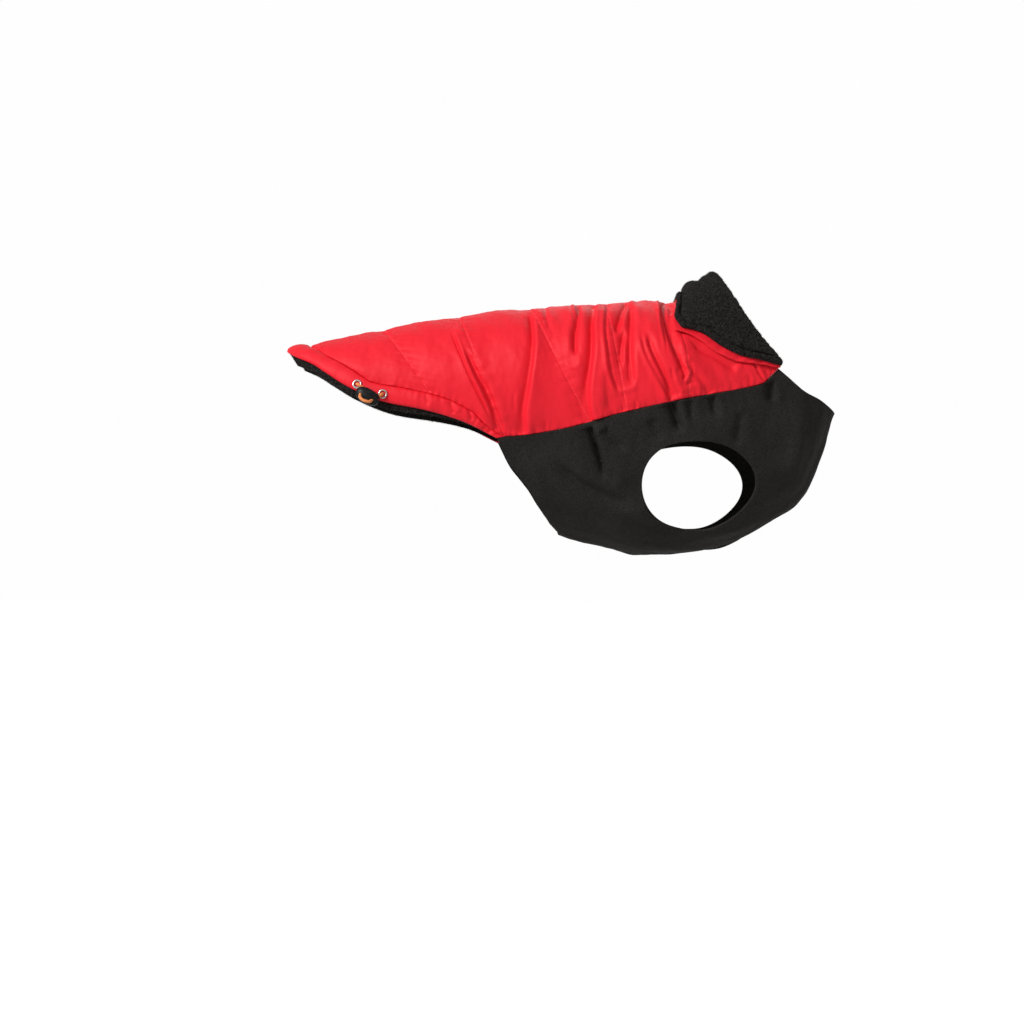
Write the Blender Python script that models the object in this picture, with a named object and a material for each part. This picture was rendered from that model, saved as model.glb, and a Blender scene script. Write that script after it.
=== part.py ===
"""A quilted dog coat in the hollow form that it has when worn.

The coat is a red padded back panel with a fleece lining, a gathered casing round its rear hem, two black
under panels with an armhole each, and a turned-down collar. Two eyelets in the casing let an elastic
drawcord out to a cord lock. +X runs toward the neck, +Z is up and -Y is the side with the cord lock.
The origin lies on the lining's inner face, on the spine over the withers, where the wearer holds it up.

Every cloth piece is a wall on one body form. The form is a row of rings, each in a plane that holds Y,
and a place on it is (u, phi): u counts the rings from rear to neck, and phi runs round the ring, 0 on
the spine, pi on the belly's centre line, negative on the -Y side. Lengths in the tables are millimetres.
"""

from collections import namedtuple
import math

import bmesh
import bpy
import numpy as np
from mathutils import Matrix, Vector

MM = 0.001
COLLECTION_NAME = "dog_coat"
CUTTER_COLLECTION_NAME = "dog_coat_cutters"

# Cloth, in mm. A height is the distance out from the body form along its normal.
SEAM_GAP = 0.3
SHELL_THICKNESS = 2.4
CASING_PUFF = 3.8
CASING_FULL_WIDTH = 22.0
CASING_CROWN = 0.7
QUILT_CROWN = 0.35
QUILT_EDGE_POWER = 7
LINING_GAP = 0.7
LINING_THICKNESS = 1.3
LINING_OVERHANG = 6.0
SOFTSHELL_THICKNESS = 2.4
COLLAR_SHELL_THICKNESS = 1.1
COLLAR_FLEECE_THICKNESS = 2.8
COLLAR_ROLL_RADIUS = 2.6
COLLAR_FALL_HEIGHT = 5.2
COLLAR_STRIP_AT_NAPE = 1.0
COLLAR_STRIP_AT_SIDE = 8.0
COLLAR_STRIP_START_PHI = 0.62
COLLAR_STRIP_BLEND_PHI = 0.3
COLLAR_STRIP_TAPER = 0.6
COLLAR_BULGE = 2.0
NAPE_ROLL_HEIGHT = 3.2
NAPE_ROLL_AT = 0.62
NAPE_ROLL_WIDTH = 0.2
NAPE_GROOVE_DEPTH = 2.0
NAPE_GROOVE_AT = 0.27
NAPE_GROOVE_WIDTH = 0.1
NAPE_ROLL_SPREAD = 0.55

# Samples of the walls.
ROWS_PER_CHANNEL = 6
BACK_HALF_COLUMNS = 12
LINING_ROWS = 24
CASING_CROSS_CELLS = 4
NECK_EDGE_CELLS = 7
CENTRE_SEAM_CELLS = 22
REAR_EDGE_CELLS = 9
UNDER_PANEL_RINGS = 6
UNDER_PANEL_RING_POWER = 1.15
COLLAR_HALF_STATIONS = 12
COLLAR_STAND_CELLS = 3
COLLAR_ROLL_CELLS = 4
COLLAR_FALL_CELLS = 7

# Hardware, in mm.
EYELET_OUTER = 9.2
EYELET_HOLE = 5.5
EYELET_FLATNESS = 0.8
CORD_DIAMETER = 2.8
CORD_CLEARANCE = 0.35
CORD_STRAIGHT = 1.2
CORD_RISE = 1.9
CORD_RISE_SHARE = 0.12
CORD_MIDWAY_RISE = 2.6
CORD_MIDWAY_SHARE = 0.5
CORD_STEP = 0.8
LOCK_LENGTH = 25.0
LOCK_WIDTH = 14.5
LOCK_THICKNESS = 10.5
LOCK_ROUNDNESS = 2.5
LOCK_SPLIT = -2.6
LOCK_SPLIT_GAP = 0.5
LOCK_TILT = math.radians(7.0)
LOCK_HEIGHT = 11.0

Ring = namedtuple("Ring", "spine_x spine_z belly_x belly_z half_width shoulder")
BODY_RINGS = [
    Ring(-316, -42.0, -300, -190, 56, 0.05),
    Ring(-260, -32.5, -240, -205, 66, 0.06),
    Ring(-180, -16.5, -150, -213, 75, 0.08),
    Ring(-100, -5.0, -70, -216, 82, 0.10),
    Ring(-60, -1.6, -10, -229, 86, 0.11),
    Ring(-20, 1.1, 45, -240, 89, 0.12),
    Ring(20, 3.0, 105, -236, 90, 0.12),
    Ring(48, 4.8, 160, -213, 86, 0.10),
    Ring(68, 5.2, 198, -186, 79, 0.07),
    Ring(82, 5.6, 221, -138, 69, 0.04),
    Ring(93, 6.4, 232, -100, 60, 0.02),
    Ring(121, 44.0, 262, -66, 56, 0.02),
]
NECK_RING = 10
# Length of one ring step in mm where the collar lies on the form, to turn its strip's width into rings.
COLLAR_RING_GAP = 17.0
LOWER_BULGE = 0.03

# The back panel's stitched lines, rear to neck, and how far the wadding rises ahead of each.
QuiltLine = namedtuple("QuiltLine", "spine_x edge_x puff_ahead")
QUILT_LINES = [
    QuiltLine(-289, -250.9, 3.4),
    QuiltLine(-214, -165.2, 3.6),
    QuiltLine(-140, -94.8, 3.6),
    QuiltLine(-70, -13.1, 3.6),
    QuiltLine(3, 22.2, 3.6),
    QuiltLine(65, 80.8, 1.6),
    QuiltLine(93, 170.6, 0.0),
]
CORNER_LINE = 2

SidePoint = namedtuple("SidePoint", "x z")
# Where the back panel meets the casing, down to the corner, and from there the under panel, up to the tip.
PANEL_EDGE = [
    SidePoint(-250.9, -57.6),
    SidePoint(-237.7, -65.9),
    SidePoint(-223.7, -74.5),
    SidePoint(-191.5, -80.6),
    SidePoint(-156.5, -89.0),
    SidePoint(-125.6, -103.6),
    SidePoint(-111.1, -117.1),
    SidePoint(-94.8, -126.7),
    SidePoint(-41.8, -120.2),
    SidePoint(15.5, -105.1),
    SidePoint(80.8, -90.7),
    SidePoint(131.9, -81.4),
    SidePoint(154.0, -76.1),
    SidePoint(162.3, -69.0),
    SidePoint(170.6, -61.0),
]
HEM = [
    SidePoint(-312.0, -41.5),
    SidePoint(-303.0, -47.0),
    SidePoint(-283.0, -56.0),
    SidePoint(-265.3, -67.5),
    SidePoint(-245.2, -79.7),
    SidePoint(-210.9, -93.6),
    SidePoint(-172.0, -101.5),
    SidePoint(-136.2, -112.2),
    SidePoint(-102.5, -128.6),
]
# The hem's x straight across the casing from a seam point's x.
CasingSpan = namedtuple("CasingSpan", "seam_x hem_x")
CASING_SPANS = [
    CasingSpan(-289.0, -312.0),
    CasingSpan(-263.5, -275.0),
    CasingSpan(-237.7, -247.0),
    CasingSpan(-191.5, -197.0),
    CasingSpan(-156.5, -161.0),
    CasingSpan(-125.6, -131.0),
    CasingSpan(-111.1, -117.0),
    CasingSpan(-94.8, -102.5),
]
# The lining's own hem: where it starts on the spine and at the side, and its share of the panel's edge.
LINING_TAIL_X = -309.0
LINING_HEM_START_X = -296.0
LINING_HEM_END_X = -104.0
LINING_HEM_SHARE = 0.42
REAR_EDGE = [
    SidePoint(-102.5, -128.6),
    SidePoint(-89.9, -153.5),
    SidePoint(-80.2, -166.0),
    SidePoint(-70.5, -178.6),
    SidePoint(-60.6, -194.1),
    SidePoint(-50.6, -208.9),
    SidePoint(-42.3, -218.9),
]
NECK_EDGE = [
    SidePoint(170.6, -61.0),
    SidePoint(192.8, -79.1),
    SidePoint(214.2, -90.1),
]
COLLAR_FREE_EDGE = [
    SidePoint(76.0, 5.4),
    SidePoint(72.0, -5.0),
    SidePoint(69.5, -19.0),
    SidePoint(74.0, -26.0),
    SidePoint(85.0, -28.5),
    SidePoint(94.0, -31.5),
    SidePoint(111.0, -42.5),
    SidePoint(133.0, -52.0),
    SidePoint(153.0, -56.0),
    SidePoint(169.0, -59.0),
]
COLLAR_STAND_AT_NAPE = 35.0
COLLAR_STAND_AT_TIP = 5.0

# The armhole, an oval on the form, and where the panel's corners lie round it.
ARMHOLE_U = 6.22
ARMHOLE_PHI = 2.14
ARMHOLE_HALF_U = 1.05
ARMHOLE_HALF_PHI = 0.42
ARMHOLE_EGG = 0.12
ArmholeAnchor = namedtuple("ArmholeAnchor", "corner angle")
ARMHOLE_ANCHORS = [
    ArmholeAnchor("hem_corner", math.radians(205)),
    ArmholeAnchor("tip", math.radians(320)),
    ArmholeAnchor("throat", math.radians(385)),
    ArmholeAnchor("belly_rear", math.radians(515)),
    ArmholeAnchor("hem_corner", math.radians(565)),
]

# Folds are ridges of the worn cloth, each along a straight line in the side view.
Fold = namedtuple("Fold", "side x0 z0 x1 z1 half_width height")
RIGHT, LEFT = -1, 1
FOLDS = [
    Fold(RIGHT, -137, -30, -97, -108, 9, 3.0),
    Fold(RIGHT, -60, -14, -69, -112, 9, 2.4),
    Fold(RIGHT, -16, -14, -19, -60, 8, 2.0),
    Fold(RIGHT, 3, -14, -4, -104, 9, 3.6),
    Fold(RIGHT, 46, -28, 74, -84, 9, 3.2),
    Fold(RIGHT, 76, -42, 92, -78, 8, 2.8),
    Fold(RIGHT, 142, -62, 153, -74, 8, 1.4),
    Fold(RIGHT, -50, -147, 40, -204, 12, 4.0),
    Fold(RIGHT, -2, -124, 16, -168, 9, 3.0),
    Fold(RIGHT, 186, -112, 190, -170, 14, 3.0),
    Fold(LEFT, -128, -34, -104, -104, 9, 2.6),
    Fold(LEFT, -48, -16, -62, -108, 9, 2.8),
    Fold(LEFT, 12, -16, 2, -100, 9, 3.4),
    Fold(LEFT, 50, -30, 70, -82, 9, 2.8),
    Fold(LEFT, 84, -46, 100, -76, 8, 2.4),
    Fold(LEFT, -44, -152, 34, -198, 12, 3.6),
    Fold(LEFT, 4, -126, 18, -162, 9, 2.6),
    Fold(LEFT, 182, -108, 188, -166, 14, 2.6),
]
FOLD_FADE_FROM_CENTRE = 26.0

# The eyelets, as the casing seam's x and the share of the way across the casing.
Eyelet = namedtuple("Eyelet", "name seam_x across")
EYELETS = [
    Eyelet("eyelet_rear", -231.5, 0.62),
    Eyelet("eyelet_front", -208.0, 0.60),
]
LOCK_SIDE_POINT = SidePoint(-225.6, -89.4)
# The lock's front hole and the cord's loop, in the lock's own frame. The rear hole mirrors the front one.
LockPoint = namedtuple("LockPoint", "along down out")
HOLE_BACK = LockPoint(9.4, -4.4, -1.9)
HOLE_FRONT = LockPoint(6.1, 2.4, 4.2)
LOOP_POINTS = [
    LockPoint(-4.9, 4.3, 6.6),
    LockPoint(-1.2, 5.6, 8.2),
    LockPoint(3.0, 5.2, 8.2),
    LockPoint(5.8, 3.9, 6.5),
]

Finish = namedtuple("Finish", "red green blue roughness metallic")
FINISHES = {
    "red_satin": Finish(0.72, 0.025, 0.035, 0.42, 0.0),
    "black_fleece": Finish(0.022, 0.022, 0.024, 0.95, 0.0),
    "black_softshell": Finish(0.014, 0.014, 0.015, 0.80, 0.0),
    "orange_elastic": Finish(0.80, 0.26, 0.09, 0.60, 0.0),
    "nickel_silver": Finish(0.72, 0.70, 0.68, 0.25, 1.0),
    "black_plastic": Finish(0.012, 0.013, 0.013, 0.40, 0.0),
}


def column(rows, name):
    """One named column of a table as an array."""
    return np.array([getattr(row, name) for row in rows], float)


def smooth_curve(value, knots, heights):
    """Monotone cubic curve through (knots, heights), read at value."""
    value = np.asarray(value, float)
    steps = np.diff(knots)
    slopes = np.diff(heights) / steps
    tangents = np.zeros(len(knots))
    tangents[0] = slopes[0]
    tangents[-1] = slopes[-1]
    for i in range(1, len(knots) - 1):
        if slopes[i - 1] * slopes[i] > 0:
            before = 2 * steps[i] + steps[i - 1]
            after = steps[i] + 2 * steps[i - 1]
            tangents[i] = (before + after) / (before / slopes[i - 1] + after / slopes[i])
    i = np.clip(np.searchsorted(knots, value) - 1, 0, len(steps) - 1)
    t = (value - knots[i]) / steps[i]
    start = (1 + 2 * t) * (1 - t) ** 2 * heights[i] + t * (1 - t) ** 2 * steps[i] * tangents[i]
    end = t * t * (3 - 2 * t) * heights[i + 1] + t * t * (t - 1) * steps[i] * tangents[i + 1]
    return start + end


RING_INDEX = np.arange(len(BODY_RINGS), dtype=float)
RING_COLUMNS = {name: column(BODY_RINGS, name) for name in Ring._fields}


def ring_at(u):
    """The body form's ring at u, each field read from its smooth curve."""
    return Ring(*(smooth_curve(u, RING_INDEX, RING_COLUMNS[name]) for name in Ring._fields))


def body_point(u, phi):
    """Points of the body form, shape (..., 3)."""
    ring = ring_at(u)
    fall = (1 - np.cos(phi)) / 2
    round_shape = np.sin(phi) + ring.shoulder * np.sin(2 * phi) + LOWER_BULGE * np.sin(3 * phi)
    x = ring.spine_x + (ring.belly_x - ring.spine_x) * fall
    y = ring.half_width * round_shape / (1 - LOWER_BULGE)
    z = ring.spine_z + (ring.belly_z - ring.spine_z) * fall
    return np.stack([x, y, z], axis=-1)


def body_normal(u, phi):
    """Unit normals of the body form, pointing out."""
    step = 1e-3
    along = body_point(u + step, phi) - body_point(u - step, phi)
    around = body_point(u, phi + step) - body_point(u, phi - step)
    normal = np.cross(along, around)
    return normal / np.linalg.norm(normal, axis=-1, keepdims=True)


def smooth_step(value):
    value = np.clip(value, 0, 1)
    return value * value * (3 - 2 * value)


def fold_height(points):
    """How far the folds lift the cloth at points of the body form."""
    height = np.zeros(points.shape[:-1])
    clear_of_centre = smooth_step(np.abs(points[..., 1]) / FOLD_FADE_FROM_CENTRE)
    for fold in FOLDS:
        start = np.array([fold.x0, fold.z0], float)
        line = np.array([fold.x1, fold.z1], float) - start
        length = np.linalg.norm(line)
        offset = points[..., [0, 2]] - start
        along = offset @ line / length
        across = offset @ np.array([-line[1], line[0]]) / length
        overrun = np.maximum(np.maximum(-along, along - length), 0)
        shape = np.exp(-(across**2 + overrun**2) / fold.half_width**2)
        on_side = np.sign(points[..., 1]) == fold.side
        height += np.where(on_side, fold.height * shape * clear_of_centre, 0)
    return height


def coat_point(u, phi, height, folded=True):
    """Points of the cloth at a height over the body form, lifted by its folds."""
    base = body_point(u, phi)
    lift = height + fold_height(base) if folded else height
    return base + body_normal(u, phi) * lift[..., None]


FINE_U = np.linspace(-0.3, len(BODY_RINGS) - 1, 4521)
FINE_RING = ring_at(FINE_U)


def locate(x, z):
    """(u, phi) of the body form's place at a point of the side view."""
    line_x = FINE_RING.belly_x - FINE_RING.spine_x
    line_z = FINE_RING.belly_z - FINE_RING.spine_z
    off_line = line_x * (z - FINE_RING.spine_z) - line_z * (x - FINE_RING.spine_x)
    crossings = np.nonzero(off_line[:-1] * off_line[1:] <= 0)[0]
    i = crossings[-1] if len(crossings) else int(np.argmin(np.abs(off_line)))
    ring = ring_at(FINE_U[i])
    line = np.array([ring.belly_x - ring.spine_x, ring.belly_z - ring.spine_z])
    fall = np.array([x - ring.spine_x, z - ring.spine_z]) @ line / (line @ line)
    return FINE_U[i], math.acos(1 - 2 * min(max(fall, 0.0), 1.0))


def located(side_points):
    """(u, phi) arrays of a table of side-view points."""
    places = np.array([locate(point.x, point.z) for point in side_points])
    return places[:, 0], places[:, 1]


def spine_u(x):
    return np.interp(x, FINE_RING.spine_x, FINE_U)


LINE_INDEX = np.arange(len(QUILT_LINES), dtype=float)


def panel_edge_place(line):
    """(u, phi) on the back panel's edge where a line of this index ends."""
    x = smooth_curve(line, LINE_INDEX, column(QUILT_LINES, "edge_x"))
    z = smooth_curve(x, column(PANEL_EDGE, "x"), column(PANEL_EDGE, "z"))
    return locate(float(x), float(z))


def across_the_back(u_spine, u_edge, phi_edge, shares):
    """A line from edge to edge over the spine that is straight in the side view."""
    phi = phi_edge * shares
    u = u_spine + (u_edge - u_spine) * (1 - np.cos(phi)) / (1 - math.cos(phi_edge))
    return u, phi


def back_panel_rows(lines, shares):
    """(u, phi) grids of the back panel, a row for each line index."""
    spine_x = smooth_curve(lines, LINE_INDEX, column(QUILT_LINES, "spine_x"))
    u = np.empty((len(lines), len(shares)))
    phi = np.empty_like(u)
    for row, line in enumerate(lines):
        u_edge, phi_edge = panel_edge_place(line)
        u[row], phi[row] = across_the_back(spine_u(spine_x[row]), u_edge, phi_edge, shares)
    return u, phi


FIRST_ROW, LAST_ROW, FIRST_COLUMN, LAST_COLUMN = range(4)
ALL_BORDERS = (FIRST_ROW, LAST_ROW, FIRST_COLUMN, LAST_COLUMN)


def trim(u, phi, borders, distance=SEAM_GAP / 2):
    """A (u, phi) grid with some borders moved toward its inside by a distance in mm."""
    row, column_index = np.indices(u.shape)
    first_row = 1 if FIRST_ROW in borders else 0
    last_row = u.shape[0] - (2 if LAST_ROW in borders else 1)
    first_column = 1 if FIRST_COLUMN in borders else 0
    last_column = u.shape[1] - (2 if LAST_COLUMN in borders else 1)
    inner = np.clip(row, first_row, last_row), np.clip(column_index, first_column, last_column)
    reach = np.linalg.norm(body_point(u[inner], phi[inner]) - body_point(u, phi), axis=-1)
    borders_met = (inner[0] != row).astype(int) + (inner[1] != column_index)
    share = distance * np.sqrt(borders_met) / np.maximum(reach, distance)
    return u + (u[inner] - u) * share, phi + (phi[inner] - phi) * share


def wall_faces(rows, columns, closed):
    """Triangles of a closed wall whose outer grid comes first and inner grid second.

    The cells' diagonals change over at the middle column, so that the two halves of a wall match.
    """
    faces = []
    inner = rows * columns
    row_cells = rows if closed else rows - 1

    def quad(a, b, c, d):
        faces.append((a, b, c))
        faces.append((a, c, d))

    for i in range(row_cells):
        k = (i + 1) % rows
        for j in range(columns - 1):
            a, b = i * columns + j, k * columns + j
            cell = (a, b, b + 1, a + 1) if j < (columns - 1) // 2 else (b, b + 1, a + 1, a)
            quad(*cell)
            quad(*(inner + corner for corner in (cell[0], cell[3], cell[2], cell[1])))
        first, first_next = i * columns, k * columns
        last, last_next = first + columns - 1, first_next + columns - 1
        quad(first, inner + first, inner + first_next, first_next)
        quad(last, last_next, inner + last_next, inner + last)
    if not closed:
        end = (rows - 1) * columns
        for j in range(columns - 1):
            quad(j, j + 1, inner + j + 1, inner + j)
            quad(end + j, inner + end + j, inner + end + j + 1, end + j + 1)
    return faces


def finish_material(finish_name):
    """The Principled material of a finish, made once."""
    material = bpy.data.materials.get(finish_name)
    if material is None:
        finish = FINISHES[finish_name]
        material = bpy.data.materials.new(finish_name)
        material.use_nodes = True
        shader = material.node_tree.nodes["Principled BSDF"]
        shader.inputs["Base Color"].default_value = (finish.red, finish.green, finish.blue, 1)
        shader.inputs["Roughness"].default_value = finish.roughness
        shader.inputs["Metallic"].default_value = finish.metallic
        material.diffuse_color = (finish.red, finish.green, finish.blue, 1)
    return material


def add_to_coat(obj, finish_name):
    """Puts a new object in the coat's collection only, with its material, shaded smooth."""
    for collection in list(obj.users_collection):
        collection.objects.unlink(obj)
    bpy.data.collections[COLLECTION_NAME].objects.link(obj)
    obj.data.materials.append(finish_material(finish_name))
    if obj.type == "MESH":
        obj.data.shade_smooth()
        obj.data.set_sharp_from_angle(angle=math.radians(50))
    return obj


def wall_object(name, outer, inner, finish_name, closed=False):
    """A cloth wall between two grids of points in mm, closed round its rows where asked."""
    rows, columns = outer.shape[:2]
    points = np.concatenate([outer.reshape(-1, 3), inner.reshape(-1, 3)]) * MM
    faces = np.array(wall_faces(rows, columns, closed))
    corners = points[faces]
    if np.linalg.det(corners - points.mean(axis=0)).sum() < 0:
        faces = faces[:, ::-1]
    mesh = bpy.data.meshes.new(name)
    mesh.from_pydata(points.tolist(), [], faces.tolist())
    return add_to_coat(bpy.data.objects.new(name, mesh), finish_name)


def build_back_panel():
    """The quilted back: rows on its stitched lines, wadding raised between them."""
    channels = len(QUILT_LINES) - 1
    lines = np.linspace(0, channels, channels * ROWS_PER_CHANNEL + 1)
    shares = np.linspace(-1, 1, 2 * BACK_HALF_COLUMNS + 1)
    u, phi = back_panel_rows(lines, shares)
    u, phi = trim(u, phi, ALL_BORDERS)
    channel = np.minimum(lines.astype(int), channels - 1)
    crown = np.sin(np.pi * (lines - channel)) ** 2
    puff = column(QUILT_LINES, "puff_ahead")[channel] * np.maximum(crown, 0) ** QUILT_CROWN
    height = SHELL_THICKNESS + puff[:, None] * (1 - np.abs(shares) ** QUILT_EDGE_POWER)[None, :]
    outer = coat_point(u, phi, height)
    inner = coat_point(u, phi, np.zeros_like(u))
    return wall_object("back_panel", outer, inner, "red_satin")


def hem_z(x):
    return smooth_curve(x, column(HEM, "x"), column(HEM, "z"))


def casing_seam_places():
    """(u, phi) along one half of the casing's seam, from the spine to the corner."""
    shares = np.linspace(0, 1, BACK_HALF_COLUMNS + 1)
    u_row, phi_row = back_panel_rows(np.array([0.0]), shares)
    lines = np.linspace(0, CORNER_LINE, CORNER_LINE * ROWS_PER_CHANNEL + 1)[1:]
    edge = np.array([panel_edge_place(line) for line in lines])
    return np.concatenate([u_row[0], edge[:, 0]]), np.concatenate([phi_row[0], edge[:, 1]])


def hem_place(seam_x):
    """(u, phi) of the hem straight across the casing from a seam point."""
    spans = column(CASING_SPANS, "seam_x")
    x = smooth_curve(seam_x, spans, column(CASING_SPANS, "hem_x"))
    return locate(float(x), float(hem_z(x)))


def casing_place(seam_u, seam_phi, across):
    """(u, phi) on the casing, a share of the way from its seam to its hem."""
    hem_u, hem_phi = hem_place(body_point(seam_u, seam_phi)[0])
    if seam_phi == 0:
        hem_phi = 0.0
    return seam_u + (hem_u - seam_u) * across, seam_phi + (hem_phi - seam_phi) * across


def casing_height(across, width):
    """The casing's height a share of the way across it, puffed less where it is narrow."""
    width_share = np.minimum(width / CASING_FULL_WIDTH, 1)
    return SHELL_THICKNESS + CASING_PUFF * width_share * np.sin(np.pi * across) ** CASING_CROWN


def both_halves(u, phi):
    """Mirrors rows that run from the spine to one side, to run from side to side."""
    return np.concatenate([u[:0:-1], u]), np.concatenate([-phi[:0:-1], phi])


def build_hem_casing():
    """The padded band round the rear hem, from corner to corner."""
    across = np.linspace(0, 1, CASING_CROSS_CELLS + 1)
    seam_u, seam_phi = casing_seam_places()
    half = [[casing_place(u, phi, share) for share in across] for u, phi in zip(seam_u, seam_phi)]
    half = np.array(half)
    u, phi = both_halves(half[..., 0], half[..., 1])
    u, phi = trim(u, phi, (FIRST_ROW, LAST_ROW, FIRST_COLUMN))
    ends = body_point(u[:, [0, -1]], phi[:, [0, -1]])
    widths = np.linalg.norm(ends[:, 1] - ends[:, 0], axis=-1)
    outer = coat_point(u, phi, casing_height(across[None, :], widths[:, None]))
    inner = coat_point(u, phi, np.zeros_like(u))
    return wall_object("hem_casing", outer, inner, "red_satin")


def lining_edge_place(share):
    """(u, phi) on the lining's edge, from the overhanging hem at the tail to the corner and the tip."""
    if share <= LINING_HEM_SHARE:
        along_hem = share / LINING_HEM_SHARE
        x = LINING_HEM_START_X + (LINING_HEM_END_X - LINING_HEM_START_X) * along_hem
        slope = float(hem_z(x + 1) - hem_z(x - 1)) / 2
        reach = LINING_OVERHANG * (1 - smooth_step(2 * along_hem - 1)) / math.hypot(1, slope)
        return locate(x + reach * slope, float(hem_z(x)) - reach)
    along_seam = (share - LINING_HEM_SHARE) / (1 - LINING_HEM_SHARE)
    return panel_edge_place(CORNER_LINE + (len(QUILT_LINES) - 1 - CORNER_LINE) * along_seam)


def build_back_lining():
    """The fleece inside the back, hanging a little below the hem."""
    shares = np.linspace(-1, 1, 2 * BACK_HALF_COLUMNS - 3)
    rows = np.linspace(0, 1, LINING_ROWS + 1)
    tail_x, neck_x = LINING_TAIL_X, QUILT_LINES[-1].spine_x
    u = np.empty((len(rows), len(shares)))
    phi = np.empty_like(u)
    for row, share in enumerate(rows):
        u_edge, phi_edge = lining_edge_place(share)
        u_centre = spine_u(tail_x + (neck_x - tail_x) * share)
        u[row], phi[row] = across_the_back(u_centre, u_edge, phi_edge, shares)
    u, phi = trim(u, phi, (LAST_ROW, FIRST_COLUMN, LAST_COLUMN), SEAM_GAP)
    outer = coat_point(u, phi, np.full_like(u, -LINING_GAP), folded=False)
    inner = coat_point(u, phi, np.full_like(u, -LINING_GAP - LINING_THICKNESS), folded=False)
    return wall_object("back_lining", outer, inner, "black_fleece")


def even_places(u_knots, phi_knots, cells):
    """Places at even steps of phi along a curve through (u, phi) knots, ends included."""
    phi = np.linspace(phi_knots[0], phi_knots[-1], cells + 1)
    return smooth_curve(phi, phi_knots, u_knots), phi


def under_panel_boundary():
    """(u, phi) round an under panel, and the index of each corner, from the hem corner forward."""
    hem_corner = locate(HEM[-1].x, HEM[-1].z)
    channels = len(QUILT_LINES) - 1
    lines = np.linspace(CORNER_LINE, channels, (channels - CORNER_LINE) * ROWS_PER_CHANNEL + 1)
    seam = np.array([panel_edge_place(line) for line in lines])
    neck_u, neck_phi = located(NECK_EDGE)
    neck_u, neck_phi = even_places(
        np.append(neck_u, NECK_RING), np.append(neck_phi, math.pi), NECK_EDGE_CELLS)
    rear_u, rear_phi = located(REAR_EDGE)
    rear_u, rear_phi = even_places(
        np.append(rear_u, rear_u[-1]), np.append(rear_phi, math.pi), REAR_EDGE_CELLS)
    centre_u = np.linspace(NECK_RING, rear_u[-1], CENTRE_SEAM_CELLS + 1)
    centre_phi = np.full_like(centre_u, math.pi)
    u = np.concatenate([[hem_corner[0]], seam[:, 0], neck_u[1:], centre_u[1:], rear_u[-2:0:-1]])
    phi = np.concatenate([[hem_corner[1]], seam[:, 1], neck_phi[1:], centre_phi[1:], rear_phi[-2:0:-1]])
    tip = len(lines)
    throat = tip + NECK_EDGE_CELLS
    corners = {"tip": tip, "throat": throat, "belly_rear": throat + CENTRE_SEAM_CELLS}
    return u, phi, corners


def armhole_angles(u, phi, corners):
    """The angle round the armhole that each boundary point is joined to."""
    points = body_point(u, phi)
    steps = np.linalg.norm(np.roll(points, -1, axis=0) - points, axis=-1)
    lengths = np.concatenate([[0], np.cumsum(steps)])
    indices = [0, corners["tip"], corners["throat"], corners["belly_rear"], len(u)]
    angles = [anchor.angle for anchor in ARMHOLE_ANCHORS]
    return np.interp(lengths[:-1], lengths[indices], angles)


def armhole_place(angle):
    """(u, phi) on the armhole's rim: an egg, fuller at its rear end."""
    u = ARMHOLE_U + ARMHOLE_HALF_U * np.cos(angle)
    phi = ARMHOLE_PHI + ARMHOLE_HALF_PHI * np.sin(angle) * (1 - ARMHOLE_EGG * np.cos(angle))
    return u, phi


def build_under_panel(name, side):
    """One under panel: a wall from the armhole's rim out to its seams and edges."""
    u_edge, phi_edge, corners = under_panel_boundary()
    u_rim, phi_rim = armhole_place(armhole_angles(u_edge, phi_edge, corners))
    share = np.linspace(0, 1, UNDER_PANEL_RINGS + 1) ** UNDER_PANEL_RING_POWER
    u = u_rim[:, None] + (u_edge - u_rim)[:, None] * share
    phi = phi_rim[:, None] + (phi_edge - phi_rim)[:, None] * share
    u, phi = trim(u, phi, (LAST_COLUMN,))
    phi = phi * side
    outer = coat_point(u, phi, np.full_like(u, SOFTSHELL_THICKNESS))
    inner = coat_point(u, phi, np.zeros_like(u))
    return wall_object(name, outer, inner, "black_softshell", closed=True)


def collar_free_edge(phi):
    """u of the fleece's free edge at phi, level where it crosses the spine."""
    u_edge, phi_edge = located(COLLAR_FREE_EDGE)
    return smooth_curve(phi**2, phi_edge**2, u_edge)


def collar_strip(phi):
    """How far the shell shows past the fleece, widening from the nape to the sides."""
    at_side = smooth_step((phi - COLLAR_STRIP_START_PHI) / COLLAR_STRIP_BLEND_PHI)
    return COLLAR_STRIP_AT_NAPE + (COLLAR_STRIP_AT_SIDE - COLLAR_STRIP_AT_NAPE) * at_side


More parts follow.
